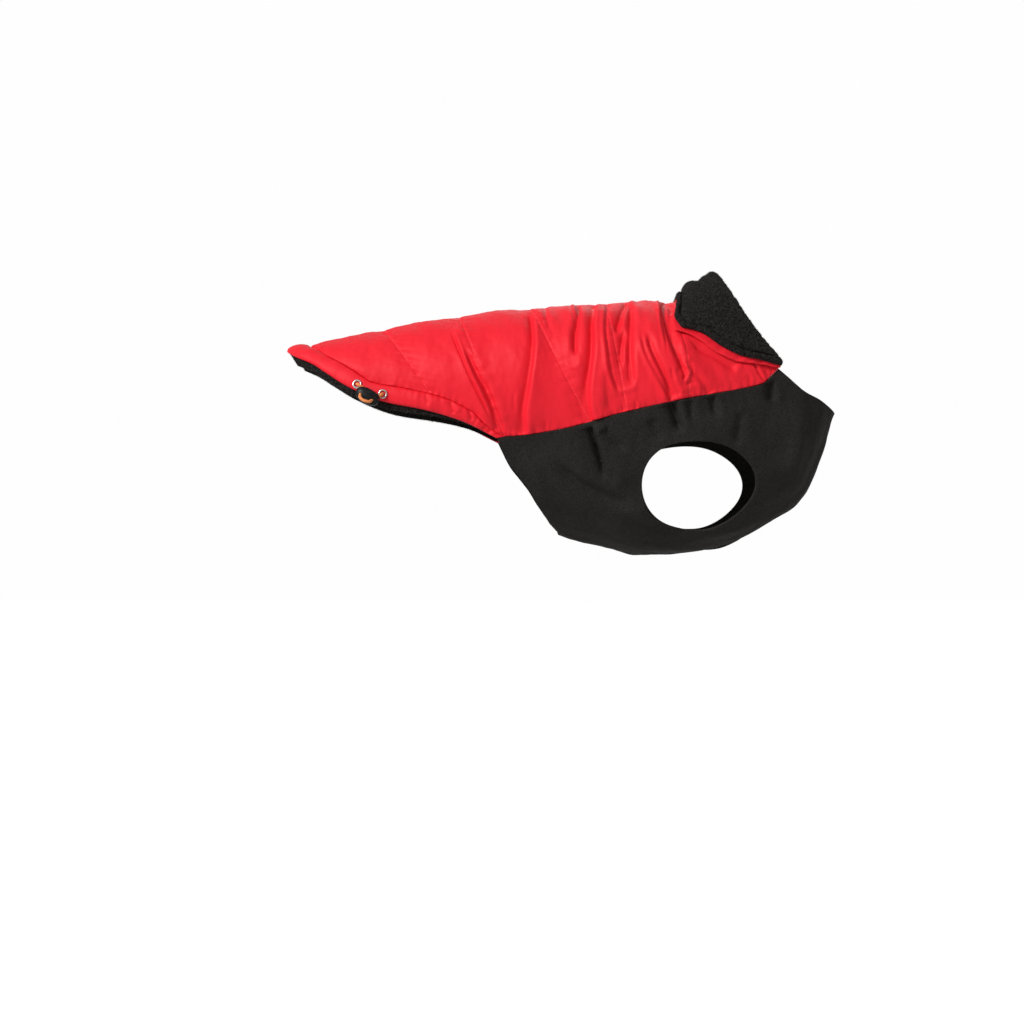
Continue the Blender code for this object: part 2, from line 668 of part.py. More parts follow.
def collar_section(phi, side, tip_phi):
    """The line between the collar's shell and fleece at phi, with the fleece's direction at each point."""
    tip_share = (1 - math.cos(phi)) / (1 - math.cos(tip_phi))
    tip_u = panel_edge_place(len(QUILT_LINES) - 1)[0]
    seam_u = NECK_RING + (tip_u - NECK_RING) * tip_share
    ring_gap = np.linalg.norm(body_point(NECK_RING + 1.0, phi) - body_point(NECK_RING + 0.0, phi))
    stand = COLLAR_STAND_AT_NAPE + (COLLAR_STAND_AT_TIP - COLLAR_STAND_AT_NAPE) * tip_share
    top_u = seam_u + stand / ring_gap
    stand_u = np.linspace(seam_u + SEAM_GAP / ring_gap, top_u, COLLAR_STAND_CELLS + 1)
    angle = np.full_like(stand_u, phi * side)
    stand_points = coat_point(stand_u, angle, np.zeros_like(stand_u))
    normals = body_normal(stand_u, angle)
    out = normals[-1]
    up = stand_points[-1] - stand_points[-2]
    up -= out * (up @ out)
    up /= np.linalg.norm(up)
    turn = np.linspace(0, math.pi, COLLAR_ROLL_CELLS + 1)[:, None]
    roll_directions = up * np.sin(turn) - out * np.cos(turn)
    roll_points = stand_points[-1] + out * COLLAR_ROLL_RADIUS + roll_directions * COLLAR_ROLL_RADIUS
    edge_u = collar_free_edge(phi)
    strip = collar_strip(phi) * (1 - COLLAR_STRIP_TAPER * tip_share)
    edge_places = np.array([edge_u, edge_u - strip / COLLAR_RING_GAP])
    edge_angle = np.full_like(edge_places, phi * side)
    edge_line = np.full_like(edge_places, COLLAR_FALL_HEIGHT + COLLAR_SHELL_THICKNESS)
    edge_points = coat_point(edge_places, edge_angle, edge_line)
    edge_normals = body_normal(edge_places, edge_angle)
    fall = np.linspace(0, 1, COLLAR_FALL_CELLS + 1)[1:, None]
    fall_directions = out + (edge_normals[0] - out) * fall
    fall_directions /= np.linalg.norm(fall_directions, axis=-1, keepdims=True)
    at_nape = math.exp(-((phi / NAPE_ROLL_SPREAD) ** 2))
    lower_roll = NAPE_ROLL_HEIGHT * np.exp(-(((fall - NAPE_ROLL_AT) / NAPE_ROLL_WIDTH) ** 2))
    groove = NAPE_GROOVE_DEPTH * np.exp(-(((fall - NAPE_GROOVE_AT) / NAPE_GROOVE_WIDTH) ** 2))
    bulge = COLLAR_BULGE * np.sin(np.pi * fall) * (1 - tip_share) + at_nape * (lower_roll - groove)
    fall_points = roll_points[-1] + (edge_points[0] - roll_points[-1]) * fall + fall_directions * bulge
    points = np.concatenate([stand_points[:-1], roll_points, fall_points, edge_points[1:]])
    directions = np.concatenate([-normals[:-1], roll_directions, fall_directions, edge_normals[1:]])
    return points, directions


def collar_grids(offsets):
    """Point grids of the collar from tip to tip, moved toward its fleece side by each offset."""
    tip_phi = panel_edge_place(len(QUILT_LINES) - 1)[1]
    phis = np.linspace(-tip_phi, tip_phi, 2 * COLLAR_HALF_STATIONS + 1)
    sections = [collar_section(abs(phi), math.copysign(1, phi), tip_phi) for phi in phis]
    points = np.array([section[0] for section in sections])
    directions = np.array([section[1] for section in sections])
    return [points + directions * offset for offset in offsets]


def build_collar():
    """The collar's red shell and its fleece, one wall over the other round the same roll.

    The fleece stops one row short of the shell, which shows past it as a narrow strip.
    """
    half_gap = SEAM_GAP / 2
    outer, inner = collar_grids([-half_gap, -half_gap - COLLAR_SHELL_THICKNESS])
    wall_object("collar_shell", outer, inner, "red_satin")
    outer, inner = collar_grids([half_gap + COLLAR_FLEECE_THICKNESS, half_gap])
    wall_object("collar_fleece", outer[:, :-1], inner[:, :-1], "black_fleece")


def casing_surface(eyelet, extra):
    """Point and normal over the casing at an eyelet, on the side of the cord lock."""
    seam_u, seam_phi = locate(eyelet.seam_x, float(smooth_curve(
        eyelet.seam_x, column(PANEL_EDGE, "x"), column(PANEL_EDGE, "z"))))
    u, phi = casing_place(seam_u, seam_phi, eyelet.across)
    ends = [body_point(*casing_place(seam_u, seam_phi, across)) for across in (0, 1)]
    height = casing_height(eyelet.across, np.linalg.norm(ends[1] - ends[0])) + extra
    point = coat_point(np.array(u), np.array(phi * RIGHT), np.array(height))
    return point, body_normal(np.array(u), np.array(phi * RIGHT))


def build_eyelets():
    """Two rolled metal rings on the casing."""
    ring_radius = (EYELET_OUTER - EYELET_HOLE) / 4
    for eyelet in EYELETS:
        point, normal = casing_surface(eyelet, ring_radius * EYELET_FLATNESS + SEAM_GAP)
        bpy.ops.mesh.primitive_torus_add(
            major_segments=20,
            minor_segments=6,
            major_radius=(EYELET_OUTER / 2 - ring_radius) * MM,
            minor_radius=ring_radius * MM,
        )
        ring = bpy.context.object
        ring.name = eyelet.name
        ring.data.transform(Matrix.Diagonal((1, 1, EYELET_FLATNESS, 1)))
        ring.matrix_world = Matrix.Translation(Vector(point * MM)) @ Vector(
            normal).to_track_quat("Z", "Y").to_matrix().to_4x4()
        add_to_coat(ring, "nickel_silver")


def lock_frame():
    """The lock's centre and its directions along, down and out, in mm."""
    u, phi = locate(LOCK_SIDE_POINT.x, LOCK_SIDE_POINT.z)
    place = np.array(u), np.array(phi * RIGHT)
    out = body_normal(*place)
    centre = coat_point(*place, np.array(LOCK_HEIGHT))
    span = casing_surface(EYELETS[1], 0)[0] - casing_surface(EYELETS[0], 0)[0]
    span -= out * (span @ out)
    along = span / np.linalg.norm(span)
    down = np.cross(along, out)
    tilted = along * math.cos(LOCK_TILT) + down * math.sin(LOCK_TILT)
    return centre, tilted, np.cross(tilted, out), out


def in_lock_frame(frame, point):
    centre, along, down, out = frame
    return centre + along * point.along + down * point.down + out * point.out


def mirrored(point):
    return LockPoint(-point.along, point.down, point.out)


def hole_cutter(name, frame, back, front):
    """A round cutter along one of the lock's two oblique holes."""
    start, end = in_lock_frame(frame, back), in_lock_frame(frame, front)
    axis = end - start
    length = np.linalg.norm(axis) * 3
    bpy.ops.mesh.primitive_cylinder_add(
        vertices=16, radius=(CORD_DIAMETER / 2 + CORD_CLEARANCE) * MM, depth=length * MM)
    cutter = bpy.context.object
    cutter.name = name
    cutter.matrix_world = Matrix.Translation(Vector((start + end) / 2 * MM)) @ Vector(
        axis).to_track_quat("Z", "Y").to_matrix().to_4x4()
    return as_cutter(cutter)


def as_cutter(obj):
    for collection in list(obj.users_collection):
        collection.objects.unlink(obj)
    bpy.data.collections[CUTTER_COLLECTION_NAME].objects.link(obj)
    obj.hide_render = True
    obj.display_type = "WIRE"
    return obj


def lock_matrix(frame):
    centre, along, down, out = frame
    turn = Matrix([list(along), list(down), list(-out)]).transposed()
    return Matrix.Translation(Vector(centre * MM)) @ turn.to_4x4()


def rounded_lock_mesh(name):
    """The lock's outer form: a sphere made squarer and drawn out to its three sizes."""
    shape = bmesh.new()
    bmesh.ops.create_uvsphere(shape, u_segments=20, v_segments=12, radius=1)
    half = (LOCK_LENGTH / 2 * MM, LOCK_WIDTH / 2 * MM, LOCK_THICKNESS / 2 * MM)
    for vertex in shape.verts:
        for axis in range(3):
            value = vertex.co[axis]
            vertex.co[axis] = math.copysign(abs(value) ** (2 / LOCK_ROUNDNESS), value) * half[axis]
    mesh = bpy.data.meshes.new(name)
    shape.to_mesh(mesh)
    shape.free()
    return mesh


def build_cord_lock(frame):
    """The lock's body and its plunger, parted by a lengthwise groove, both bored for the cord."""
    cutters = [
        hole_cutter("bore_rear", frame, mirrored(HOLE_BACK), mirrored(HOLE_FRONT)),
        hole_cutter("bore_front", frame, HOLE_BACK, HOLE_FRONT),
    ]
    place = lock_matrix(frame)
    for name, direction in (("cord_lock_body", 1), ("cord_lock_plunger", -1)):
        piece = bpy.data.objects.new(name, rounded_lock_mesh(name))
        piece.matrix_world = place
        add_to_coat(piece, "black_plastic")
        bpy.ops.mesh.primitive_cube_add(size=LOCK_LENGTH * 2 * MM)
        half_space = as_cutter(bpy.context.object)
        half_space.name = name + "_side"
        offset = LOCK_SPLIT + direction * (LOCK_SPLIT_GAP / 2 - LOCK_LENGTH)
        half_space.matrix_world = place @ Matrix.Translation((0, offset * MM, 0))
        for cutter in [half_space] + cutters:
            cut = piece.modifiers.new(cutter.name, "BOOLEAN")
            cut.operation = "DIFFERENCE"
            cut.solver = "EXACT"
            cut.object = cutter


def smooth_route(points, spacing):
    """Points at even spacing along a Catmull-Rom curve through the given ones."""
    points = np.array(points)
    ends = [2 * points[0] - points[1]], [2 * points[-1] - points[-2]]
    padded = np.concatenate([ends[0], points, ends[1]])
    t = np.linspace(0, 1, 21)[:-1, None]
    dense = []
    for a, b, c, d in zip(padded, padded[1:], padded[2:], padded[3:]):
        dense.append(0.5 * (2 * b + (c - a) * t + (2 * a - 5 * b + 4 * c - d) * t**2
                            + (3 * b - a - 3 * c + d) * t**3))
    dense = np.concatenate(dense + [points[-1:]])
    length = np.concatenate([[0], np.cumsum(np.linalg.norm(np.diff(dense, axis=0), axis=1))])
    stops = np.linspace(0, length[-1], max(2, round(length[-1] / spacing)) + 1)
    return np.stack([np.interp(stops, length, dense[:, axis]) for axis in range(3)], axis=-1)


def cord_half(frame, eyelet, mirror):
    """The cord's own points from an eyelet to the front of its hole in the lock."""
    point, normal = casing_surface(eyelet, SEAM_GAP)
    back = mirror(HOLE_BACK)
    front = mirror(HOLE_FRONT)
    start, end = in_lock_frame(frame, back), in_lock_frame(frame, front)
    bore = (end - start) / np.linalg.norm(end - start)
    before = start - bore * CORD_STRAIGHT
    lead = before - point
    risen = point + normal * CORD_RISE + lead * CORD_RISE_SHARE
    midway = point + normal * CORD_MIDWAY_RISE + lead * CORD_MIDWAY_SHARE
    return [point, risen, midway, before, start, (start + end) / 2, end]


def build_drawcord(frame):
    """The elastic cord: out of one eyelet, through the lock, round its loop and back to the other."""
    rear = cord_half(frame, EYELETS[0], mirrored)
    front = cord_half(frame, EYELETS[1], lambda point: point)
    loop = [in_lock_frame(frame, point) for point in LOOP_POINTS]
    route = smooth_route(rear + loop + front[::-1], CORD_DIAMETER * CORD_STEP)
    curve = bpy.data.curves.new("drawcord", "CURVE")
    curve.dimensions = "3D"
    curve.bevel_depth = CORD_DIAMETER / 2 * MM
    curve.bevel_resolution = 2
    curve.use_fill_caps = True
    spline = curve.splines.new("POLY")
    spline.points.add(len(route) - 1)
    for place, point in zip(spline.points, route):
        place.co = (*(point * MM), 1)
    add_to_coat(bpy.data.objects.new("drawcord", curve), "orange_elastic")


def main():
    for obj in list(bpy.data.objects):
        bpy.data.objects.remove(obj, do_unlink=True)
    for name in (COLLECTION_NAME, CUTTER_COLLECTION_NAME):
        bpy.context.scene.collection.children.link(bpy.data.collections.new(name))
    build_back_panel()
    build_back_lining()
    build_hem_casing()
    build_under_panel("under_panel_right", RIGHT)
    build_under_panel("under_panel_left", LEFT)
    build_collar()
    build_eyelets()
    frame = lock_frame()
    build_cord_lock(frame)
    build_drawcord(frame)


if __name__ == "__main__":
    main()
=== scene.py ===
"""Looks of a quilted dog coat in the hollow form that it has when worn.

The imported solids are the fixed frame. Every cloth solid is stood for by a finer shell on the same body
form, with the quilting, creases, seam puckers, stitches and nap of the real coat. Lengths are worked out
in millimetres and go into the meshes in metres. +X runs toward the neck, +Z is up and -Y is the side
with the cord lock.
"""

import logging
import math
from dataclasses import dataclass, field
from enum import Enum

import bpy
import numpy as np
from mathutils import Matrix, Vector


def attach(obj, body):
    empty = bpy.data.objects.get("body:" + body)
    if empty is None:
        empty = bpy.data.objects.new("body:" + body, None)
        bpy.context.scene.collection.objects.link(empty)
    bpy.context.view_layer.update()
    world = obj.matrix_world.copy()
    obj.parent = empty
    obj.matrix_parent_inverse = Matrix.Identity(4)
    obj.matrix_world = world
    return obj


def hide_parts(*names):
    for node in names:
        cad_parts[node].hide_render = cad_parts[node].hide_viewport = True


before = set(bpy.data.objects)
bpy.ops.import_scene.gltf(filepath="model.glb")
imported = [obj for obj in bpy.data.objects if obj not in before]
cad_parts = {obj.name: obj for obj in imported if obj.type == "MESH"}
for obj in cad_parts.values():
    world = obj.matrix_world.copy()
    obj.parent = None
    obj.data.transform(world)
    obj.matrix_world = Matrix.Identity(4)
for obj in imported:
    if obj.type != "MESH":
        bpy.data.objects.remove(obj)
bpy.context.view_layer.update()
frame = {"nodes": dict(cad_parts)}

Array = np.ndarray
MM = 0.001
LOG = logging.getLogger("dog_coat")


class Side(Enum):
    """The two sides of the coat, as the sign of Y."""

    RIGHT = -1
    LEFT = 1


class Axis(Enum):
    """The two ways of a grid, as its axes: down its rows or along its columns."""

    ROWS = 0
    COLUMNS = 1


Border = tuple[Axis, int]
FIRST_ROW, LAST_ROW = (Axis.ROWS, 0), (Axis.ROWS, -1)
FIRST_COLUMN, LAST_COLUMN = (Axis.COLUMNS, 0), (Axis.COLUMNS, -1)
ALL_ROUND = (FIRST_ROW, LAST_ROW, FIRST_COLUMN, LAST_COLUMN)


# ---------------------------------------------------------------- curves and noise


def smooth_step(value: Array) -> Array:
    """Cubic ease from 0 to 1: 3v^2 - 2v^3, with v held between 0 and 1."""
    value = np.clip(value, 0.0, 1.0)
    return value * value * (3 - 2 * value)


def smooth_curve(value: Array, knots: Array, heights: Array) -> Array:
    """Monotone cubic curve through points.

    Each tangent is the weighted harmonic mean of the two slopes beside its knot, or zero at a turn, and
    the curve between two knots is the cubic Hermite curve of their heights and tangents.

    Args:
        value: where the curve is read.
        knots: rising positions of the points.
        heights: the points' values.

    Returns:
        The curve's values, in the shape of value.
    """
    value, knots, heights = (np.asarray(a, float) for a in (value, knots, heights))
    steps = np.diff(knots)
    slopes = np.diff(heights) / steps
    tangents = np.concatenate([slopes[:1], np.zeros(len(knots) - 2), slopes[-1:]])
    before, after = 2 * steps[1:] + steps[:-1], steps[1:] + 2 * steps[:-1]
    rising = slopes[:-1] * slopes[1:] > 0
    low = np.where(rising, slopes[:-1], 1.0)
    high = np.where(rising, slopes[1:], 1.0)
    tangents[1:-1] = np.where(rising, (before + after) / (before / low + after / high), 0.0)
    i = np.clip(np.searchsorted(knots, value) - 1, 0, len(steps) - 1)
    t = (value - knots[i]) / steps[i]
    start = (1 + 2 * t) * (1 - t) ** 2 * heights[i] + t * (1 - t) ** 2 * steps[i] * tangents[i]
    end = t * t * (3 - 2 * t) * heights[i + 1] + t * t * (t - 1) * steps[i] * tangents[i + 1]
    return start + end


def flowing_line(points: Array, count: int) -> Array:
    """Points at even spacing along a Catmull-Rom curve through the given ones.

    Args:
        points: the points that the curve passes through, shape (n, dimensions).
        count: how many points come back.

    Returns:
        Points on the curve, shape (count, dimensions).
    """
    points = np.asarray(points, float)
    ring = np.concatenate([2 * points[:1] - points[1:2], points, 2 * points[-1:] - points[-2:-1]])
    t = np.linspace(0, 1, 25)[:-1, None, None]
    a, b, c, d = (ring[i : len(ring) - 3 + i] for i in range(4))
    bent = 0.5 * (2 * b + (c - a) * t + (2 * a - 5 * b + 4 * c - d) * t**2 + (3 * b - a - 3 * c + d) * t**3)
    dense = np.concatenate([bent.transpose(1, 0, 2).reshape(-1, points.shape[1]), points[-1:]])
    return at_even_steps(dense, count)


def run_along(points: Array, axis: int = 0) -> Array:
    """Length passed at each point, from zero: the running sum of the steps between neighbours.

    Args:
        points: a line of points, or a grid of them.
        axis: the way that the length runs on a grid.

    Returns:
        The lengths, in the shape of the points without their last axis.
    """
    steps = np.linalg.norm(np.diff(points, axis=axis), axis=-1)
    return np.concatenate([np.zeros_like(steps.take([0], axis)), np.cumsum(steps, axis=axis)], axis=axis)


def read_at(values: Array, length: Array, stops: Array) -> Array:
    """Columns of values along a line, read at some of its lengths."""
    return np.stack([np.interp(stops, length, column) for column in values.T], axis=-1)


def at_even_steps(line: Array, count: int) -> Array:
    """The line's points again, count of them at even steps of its length."""
    length = run_along(line)
    return read_at(line, length, np.linspace(0, length[-1], count))


def ripple(a: Array, b: Array, wavelength: float, seed: int, waves: int = 22) -> Array:
    """Smooth noise about zero: the mean of sine waves in random directions and phases.

    Each wave is sin(k . (a, b) + phase) with a length from 0.6 to 1.8 times the one given, and the sum is
    divided by the square root of half their number, so that its spread is about one.

    Args:
        a: the first coordinate, in mm.
        b: the second one.
        wavelength: about how long a wave is.
        seed: picks the waves.
        waves: how many there are.

    Returns:
        The noise, in the shape of a with b.
    """
    draw = np.random.default_rng(seed)
    angle = draw.uniform(0, 2 * math.pi, waves)
    pitch = 2 * math.pi / (wavelength * draw.uniform(0.6, 1.8, waves))
    phase = draw.uniform(0, 2 * math.pi, waves)
    total = np.zeros(np.broadcast(a, b).shape)
    for k, turn, start in zip(pitch, angle, phase):
        total += np.sin(k * (a * math.cos(turn) + b * math.sin(turn)) + start)
    return total / math.sqrt(waves / 2)


def unit(vectors: Array) -> Array:
    """The vectors at length one."""
    return vectors / np.maximum(np.linalg.norm(vectors, axis=-1, keepdims=True), 1e-12)


# ---------------------------------------------------------------- the body form


@dataclass(frozen=True)
class BodyForm:
    """The smooth body that all the cloth is laid over: a row of rings from rear to neck.

    A place on it is (u, phi): u counts the rings, and phi runs round one, 0 on the spine and pi on the
    belly's centre line. A row of the table is a ring's spine x and z, belly x and z, half width and
    shoulder.
    """

    rings: tuple[tuple[float, ...], ...] = (
        (-316, -42.0, -300, -190, 56, 0.05),
        (-260, -32.5, -240, -205, 66, 0.06),
        (-180, -16.5, -150, -213, 75, 0.08),
        (-100, -5.0, -70, -216, 82, 0.10),
        (-60, -1.6, -10, -229, 86, 0.11),
        (-20, 1.1, 45, -240, 89, 0.12),
        (20, 3.0, 105, -236, 90, 0.12),
        (48, 4.8, 160, -213, 86, 0.10),
        (68, 5.2, 198, -186, 79, 0.07),
        (82, 5.6, 221, -138, 69, 0.04),
        (93, 6.4, 232, -100, 60, 0.02),
        (121, 44.0, 262, -66, 56, 0.02),
    )
    neck_ring: float = 10.0
    collar_ring_gap: float = 17.0
    lower_bulge: float = 0.03
    girth_scale: float = 95.0

    def ring(self, u: Array) -> tuple[Array, ...]:
        """The six columns of the ring at u, each read from its smooth curve."""
        index = np.arange(len(self.rings), dtype=float)
        return tuple(smooth_curve(u, index, np.array(column)) for column in zip(*self.rings))

    def point(self, u: Array, phi: Array) -> Array:
        """Points of the form.

        The point falls from the spine to the belly by (1 - cos phi) / 2, and its y is the half width times
        sin phi + shoulder sin 2 phi + bulge sin 3 phi.

        Args:
            u: places along the form.
            phi: angles round it.

        Returns:
            Points in mm, with one more axis than u and phi.
        """
        spine_x, spine_z, belly_x, belly_z, half_width, shoulder = self.ring(u)
        fall = (1 - np.cos(phi)) / 2
        section = np.sin(phi) + shoulder * np.sin(2 * phi) + self.lower_bulge * np.sin(3 * phi)
        return np.stack(
            [
                spine_x + (belly_x - spine_x) * fall,
                half_width * section / (1 - self.lower_bulge),
                spine_z + (belly_z - spine_z) * fall,
            ],
            axis=-1,
        )

    def normal(self, u: Array, phi: Array) -> Array:
        """Unit normals pointing out: the cross product of the steps along u and along phi.

        Args:
            u: places along the form.
            phi: angles round it.

        Returns:
            The normals, in the shape of the points.
        """
        step = 1e-3
        along = self.point(u + step, phi) - self.point(u - step, phi)
        around = self.point(u, phi + step) - self.point(u, phi - step)
        return unit(np.cross(along, around))

    def locate(self, x: Array, z: Array) -> tuple[Array, Array]:
        """(u, phi) of places given by their x and z in the side view.

        A ring is a straight line there, from spine to belly. The last ring whose line passes through the
        point is taken, and phi comes from how far along the line it lies.

        Args:
            x: places toward the neck, in mm.
            z: their heights.

        Returns:
            u and phi of each place.
        """
        x, z = np.atleast_1d(np.asarray(x, float)), np.atleast_1d(np.asarray(z, float))
        u = np.linspace(-0.3, len(self.rings) - 1, 4521)
        spine_x, spine_z, belly_x, belly_z = (c[:, None] for c in self.ring(u)[:4])
        off = (belly_x - spine_x) * (z - spine_z) - (belly_z - spine_z) * (x - spine_x)
        crossing = off[:-1] * off[1:] <= 0
        last = len(crossing) - 1 - np.argmax(crossing[::-1], axis=0)
        found = np.where(crossing.any(axis=0), last, np.argmin(np.abs(off), axis=0))
        line = np.stack([(belly_x - spine_x)[found, 0], (belly_z - spine_z)[found, 0]])
        start = np.stack([spine_x[found, 0], spine_z[found, 0]])
        fall = ((np.stack([x, z]) - start) * line).sum(0) / (line * line).sum(0)
        return u[found], np.arccos(1 - 2 * np.clip(fall, 0, 1))

    def spine_u(self, x: Array) -> Array:
        """u of the ring whose spine point lies at x."""
        u = np.linspace(-0.3, len(self.rings) - 1, 4521)
        return np.interp(x, self.ring(u)[0], u)

    def cloth_uv(self, u: Array, phi: Array) -> Array:
        """The weave's own coordinates in mm: length along the mid-height, and girth from phi.

        Args:
            u: places along the form.
            phi: angles round it.

        Returns:
            The two coordinates, on a last axis of their own.
        """
        fine = np.linspace(-1, len(self.rings), 400)
        length = run_along(self.point(fine, np.full_like(fine, math.pi / 2)))
        return np.stack([np.interp(u, fine, length), phi * self.girth_scale], axis=-1)


FORM = BodyForm()


# ---------------------------------------------------------------- folds and creases


@dataclass(frozen=True)
class Ridge:
    """A broad fold of the solid: a straight ridge in the side view, in mm."""

    side: Side
    start: tuple[float, float]
    end: tuple[float, float]
    half_width: float
    height: float

    def lift(self, places: Array) -> Array:
        """Height exp(-(across^2 + overrun^2) / half_width^2) times the ridge's own height.

        Args:
            places: side-view points (x, z) in mm.

        Returns:
            The ridge's height at each.
        """
        start, line = np.array(self.start), np.subtract(self.end, self.start)
        length = np.linalg.norm(line)
        offset = places - start
        along = offset @ line / length
        across = offset @ np.array([-line[1], line[0]]) / length
        overrun = np.maximum(np.maximum(-along, along - length), 0)
        return self.height * np.exp(-(across**2 + overrun**2) / self.half_width**2)


@dataclass(frozen=True)
class Crease:
    """A soft trough with a raised lip, along a bent line in the side view, in mm.

    depth is how far the trough sinks, lip how far the cloth beside it stands up, and lip_side 1 or -1 on
    which side of the line: 1 is to the left of its way. The width runs from the first to the second
    number, fade is the share of the line over which each end dies out, and lean is how much wider the
    slope is on the side away from the lip.
    """

    side: Side
    line: tuple[tuple[float, float], ...]
    width: tuple[float, float]
    depth: float
    lip: float = 0.0
    lip_side: int = 1
    fade: tuple[float, float] = (0.25, 0.25)
    lean: float = 1.0

    def lift(self, places: Array) -> Array:
        """Trough -depth / (1 + q^2)^1.5 and lip exp(-(q - 2)^2 / 2), with q the distance over the width.

        Only places within seven widths of the line's box are worked out.

        Args:
            places: side-view points (x, z) in mm.

        Returns:
            How far the cloth stands up at each, negative in the trough.
        """
        path = flowing_line(np.array(self.line), 24)
        reach = 7 * max(self.width) * self.lean
        near = ((places > path.min(axis=0) - reach) & (places < path.max(axis=0) + reach)).all(axis=-1)
        total = np.zeros(places.shape[:-1])
        if near.any():
            total[near] = self._lift_near(path, places[near])
        return total

    def _lift_near(self, path: Array, places: Array) -> Array:
        """The lift at places close to the line.

        Args:
            path: points along the line.
            places: side-view points near it.

        Returns:
            The lift at each place.
        """
        gap, share, across = self._nearest(path, places)
        width = self.width[0] + (self.width[1] - self.width[0]) * share
        coming, going = (max(fade, 1e-3) for fade in self.fade)
        strength = smooth_step(share / coming) * smooth_step((1 - share) / going)
        strength = np.where((share <= 0) | (share >= 1), 0.0, strength)
        signed = gap / width * np.sign(across) * self.lip_side
        q = np.where(signed < 0, signed / self.lean, signed)
        trough = -self.depth / (1 + q * q) ** 1.5
        return strength * (trough + self.lip * np.exp(-((signed - 2.0) ** 2) / 2.0))

    @staticmethod
    def _nearest(path: Array, places: Array) -> tuple[Array, Array, Array]:
        """Distance to a line, the share of it passed there, and the side as a signed distance.

        Args:
            path: points along the line.
            places: side-view points.

        Returns:
            The distance, the share and the side, one of each for a place.
        """
        steps = np.diff(path, axis=0)
        length = np.linalg.norm(steps, axis=1)
        offset = places[:, None, :] - path[None, :-1]
        t = np.clip((offset * steps).sum(-1) / length**2, 0, 1)
        gap = np.linalg.norm(offset - t[..., None] * steps, axis=-1)
        best = np.argmin(gap, axis=1)
        rows = np.arange(len(places))
        passed = run_along(path)
        share = (passed[best] + t[rows, best] * length[best]) / passed[-1]
        chosen, start = steps[best], offset[rows, best]
        across = (chosen[:, 0] * start[:, 1] - chosen[:, 1] * start[:, 0]) / length[best]
        return gap[rows, best], share, across


R, L = Side.RIGHT, Side.LEFT
SOLID_FOLDS = (
    Ridge(R, (-137, -30), (-97, -108), 9, 3.0),
    Ridge(R, (-60, -14), (-69, -112), 9, 2.4),
    Ridge(R, (-16, -14), (-19, -60), 8, 2.0),
    Ridge(R, (3, -14), (-4, -104), 9, 3.6),
    Ridge(R, (46, -28), (74, -84), 9, 3.2),
    Ridge(R, (76, -42), (92, -78), 8, 2.8),
    Ridge(R, (142, -62), (153, -74), 8, 1.4),
    Ridge(R, (-50, -147), (40, -204), 12, 4.0),
    Ridge(R, (-2, -124), (16, -168), 9, 3.0),
    Ridge(R, (186, -112), (190, -170), 14, 3.0),
    Ridge(L, (-128, -34), (-104, -104), 9, 2.6),
    Ridge(L, (-48, -16), (-62, -108), 9, 2.8),
    Ridge(L, (12, -16), (2, -100), 9, 3.4),
    Ridge(L, (50, -30), (70, -82), 9, 2.8),
    Ridge(L, (84, -46), (100, -76), 8, 2.4),
    Ridge(L, (-44, -152), (34, -198), 12, 3.6),
    Ridge(L, (4, -126), (18, -162), 9, 2.6),
    Ridge(L, (182, -108), (188, -166), 14, 2.6),
)
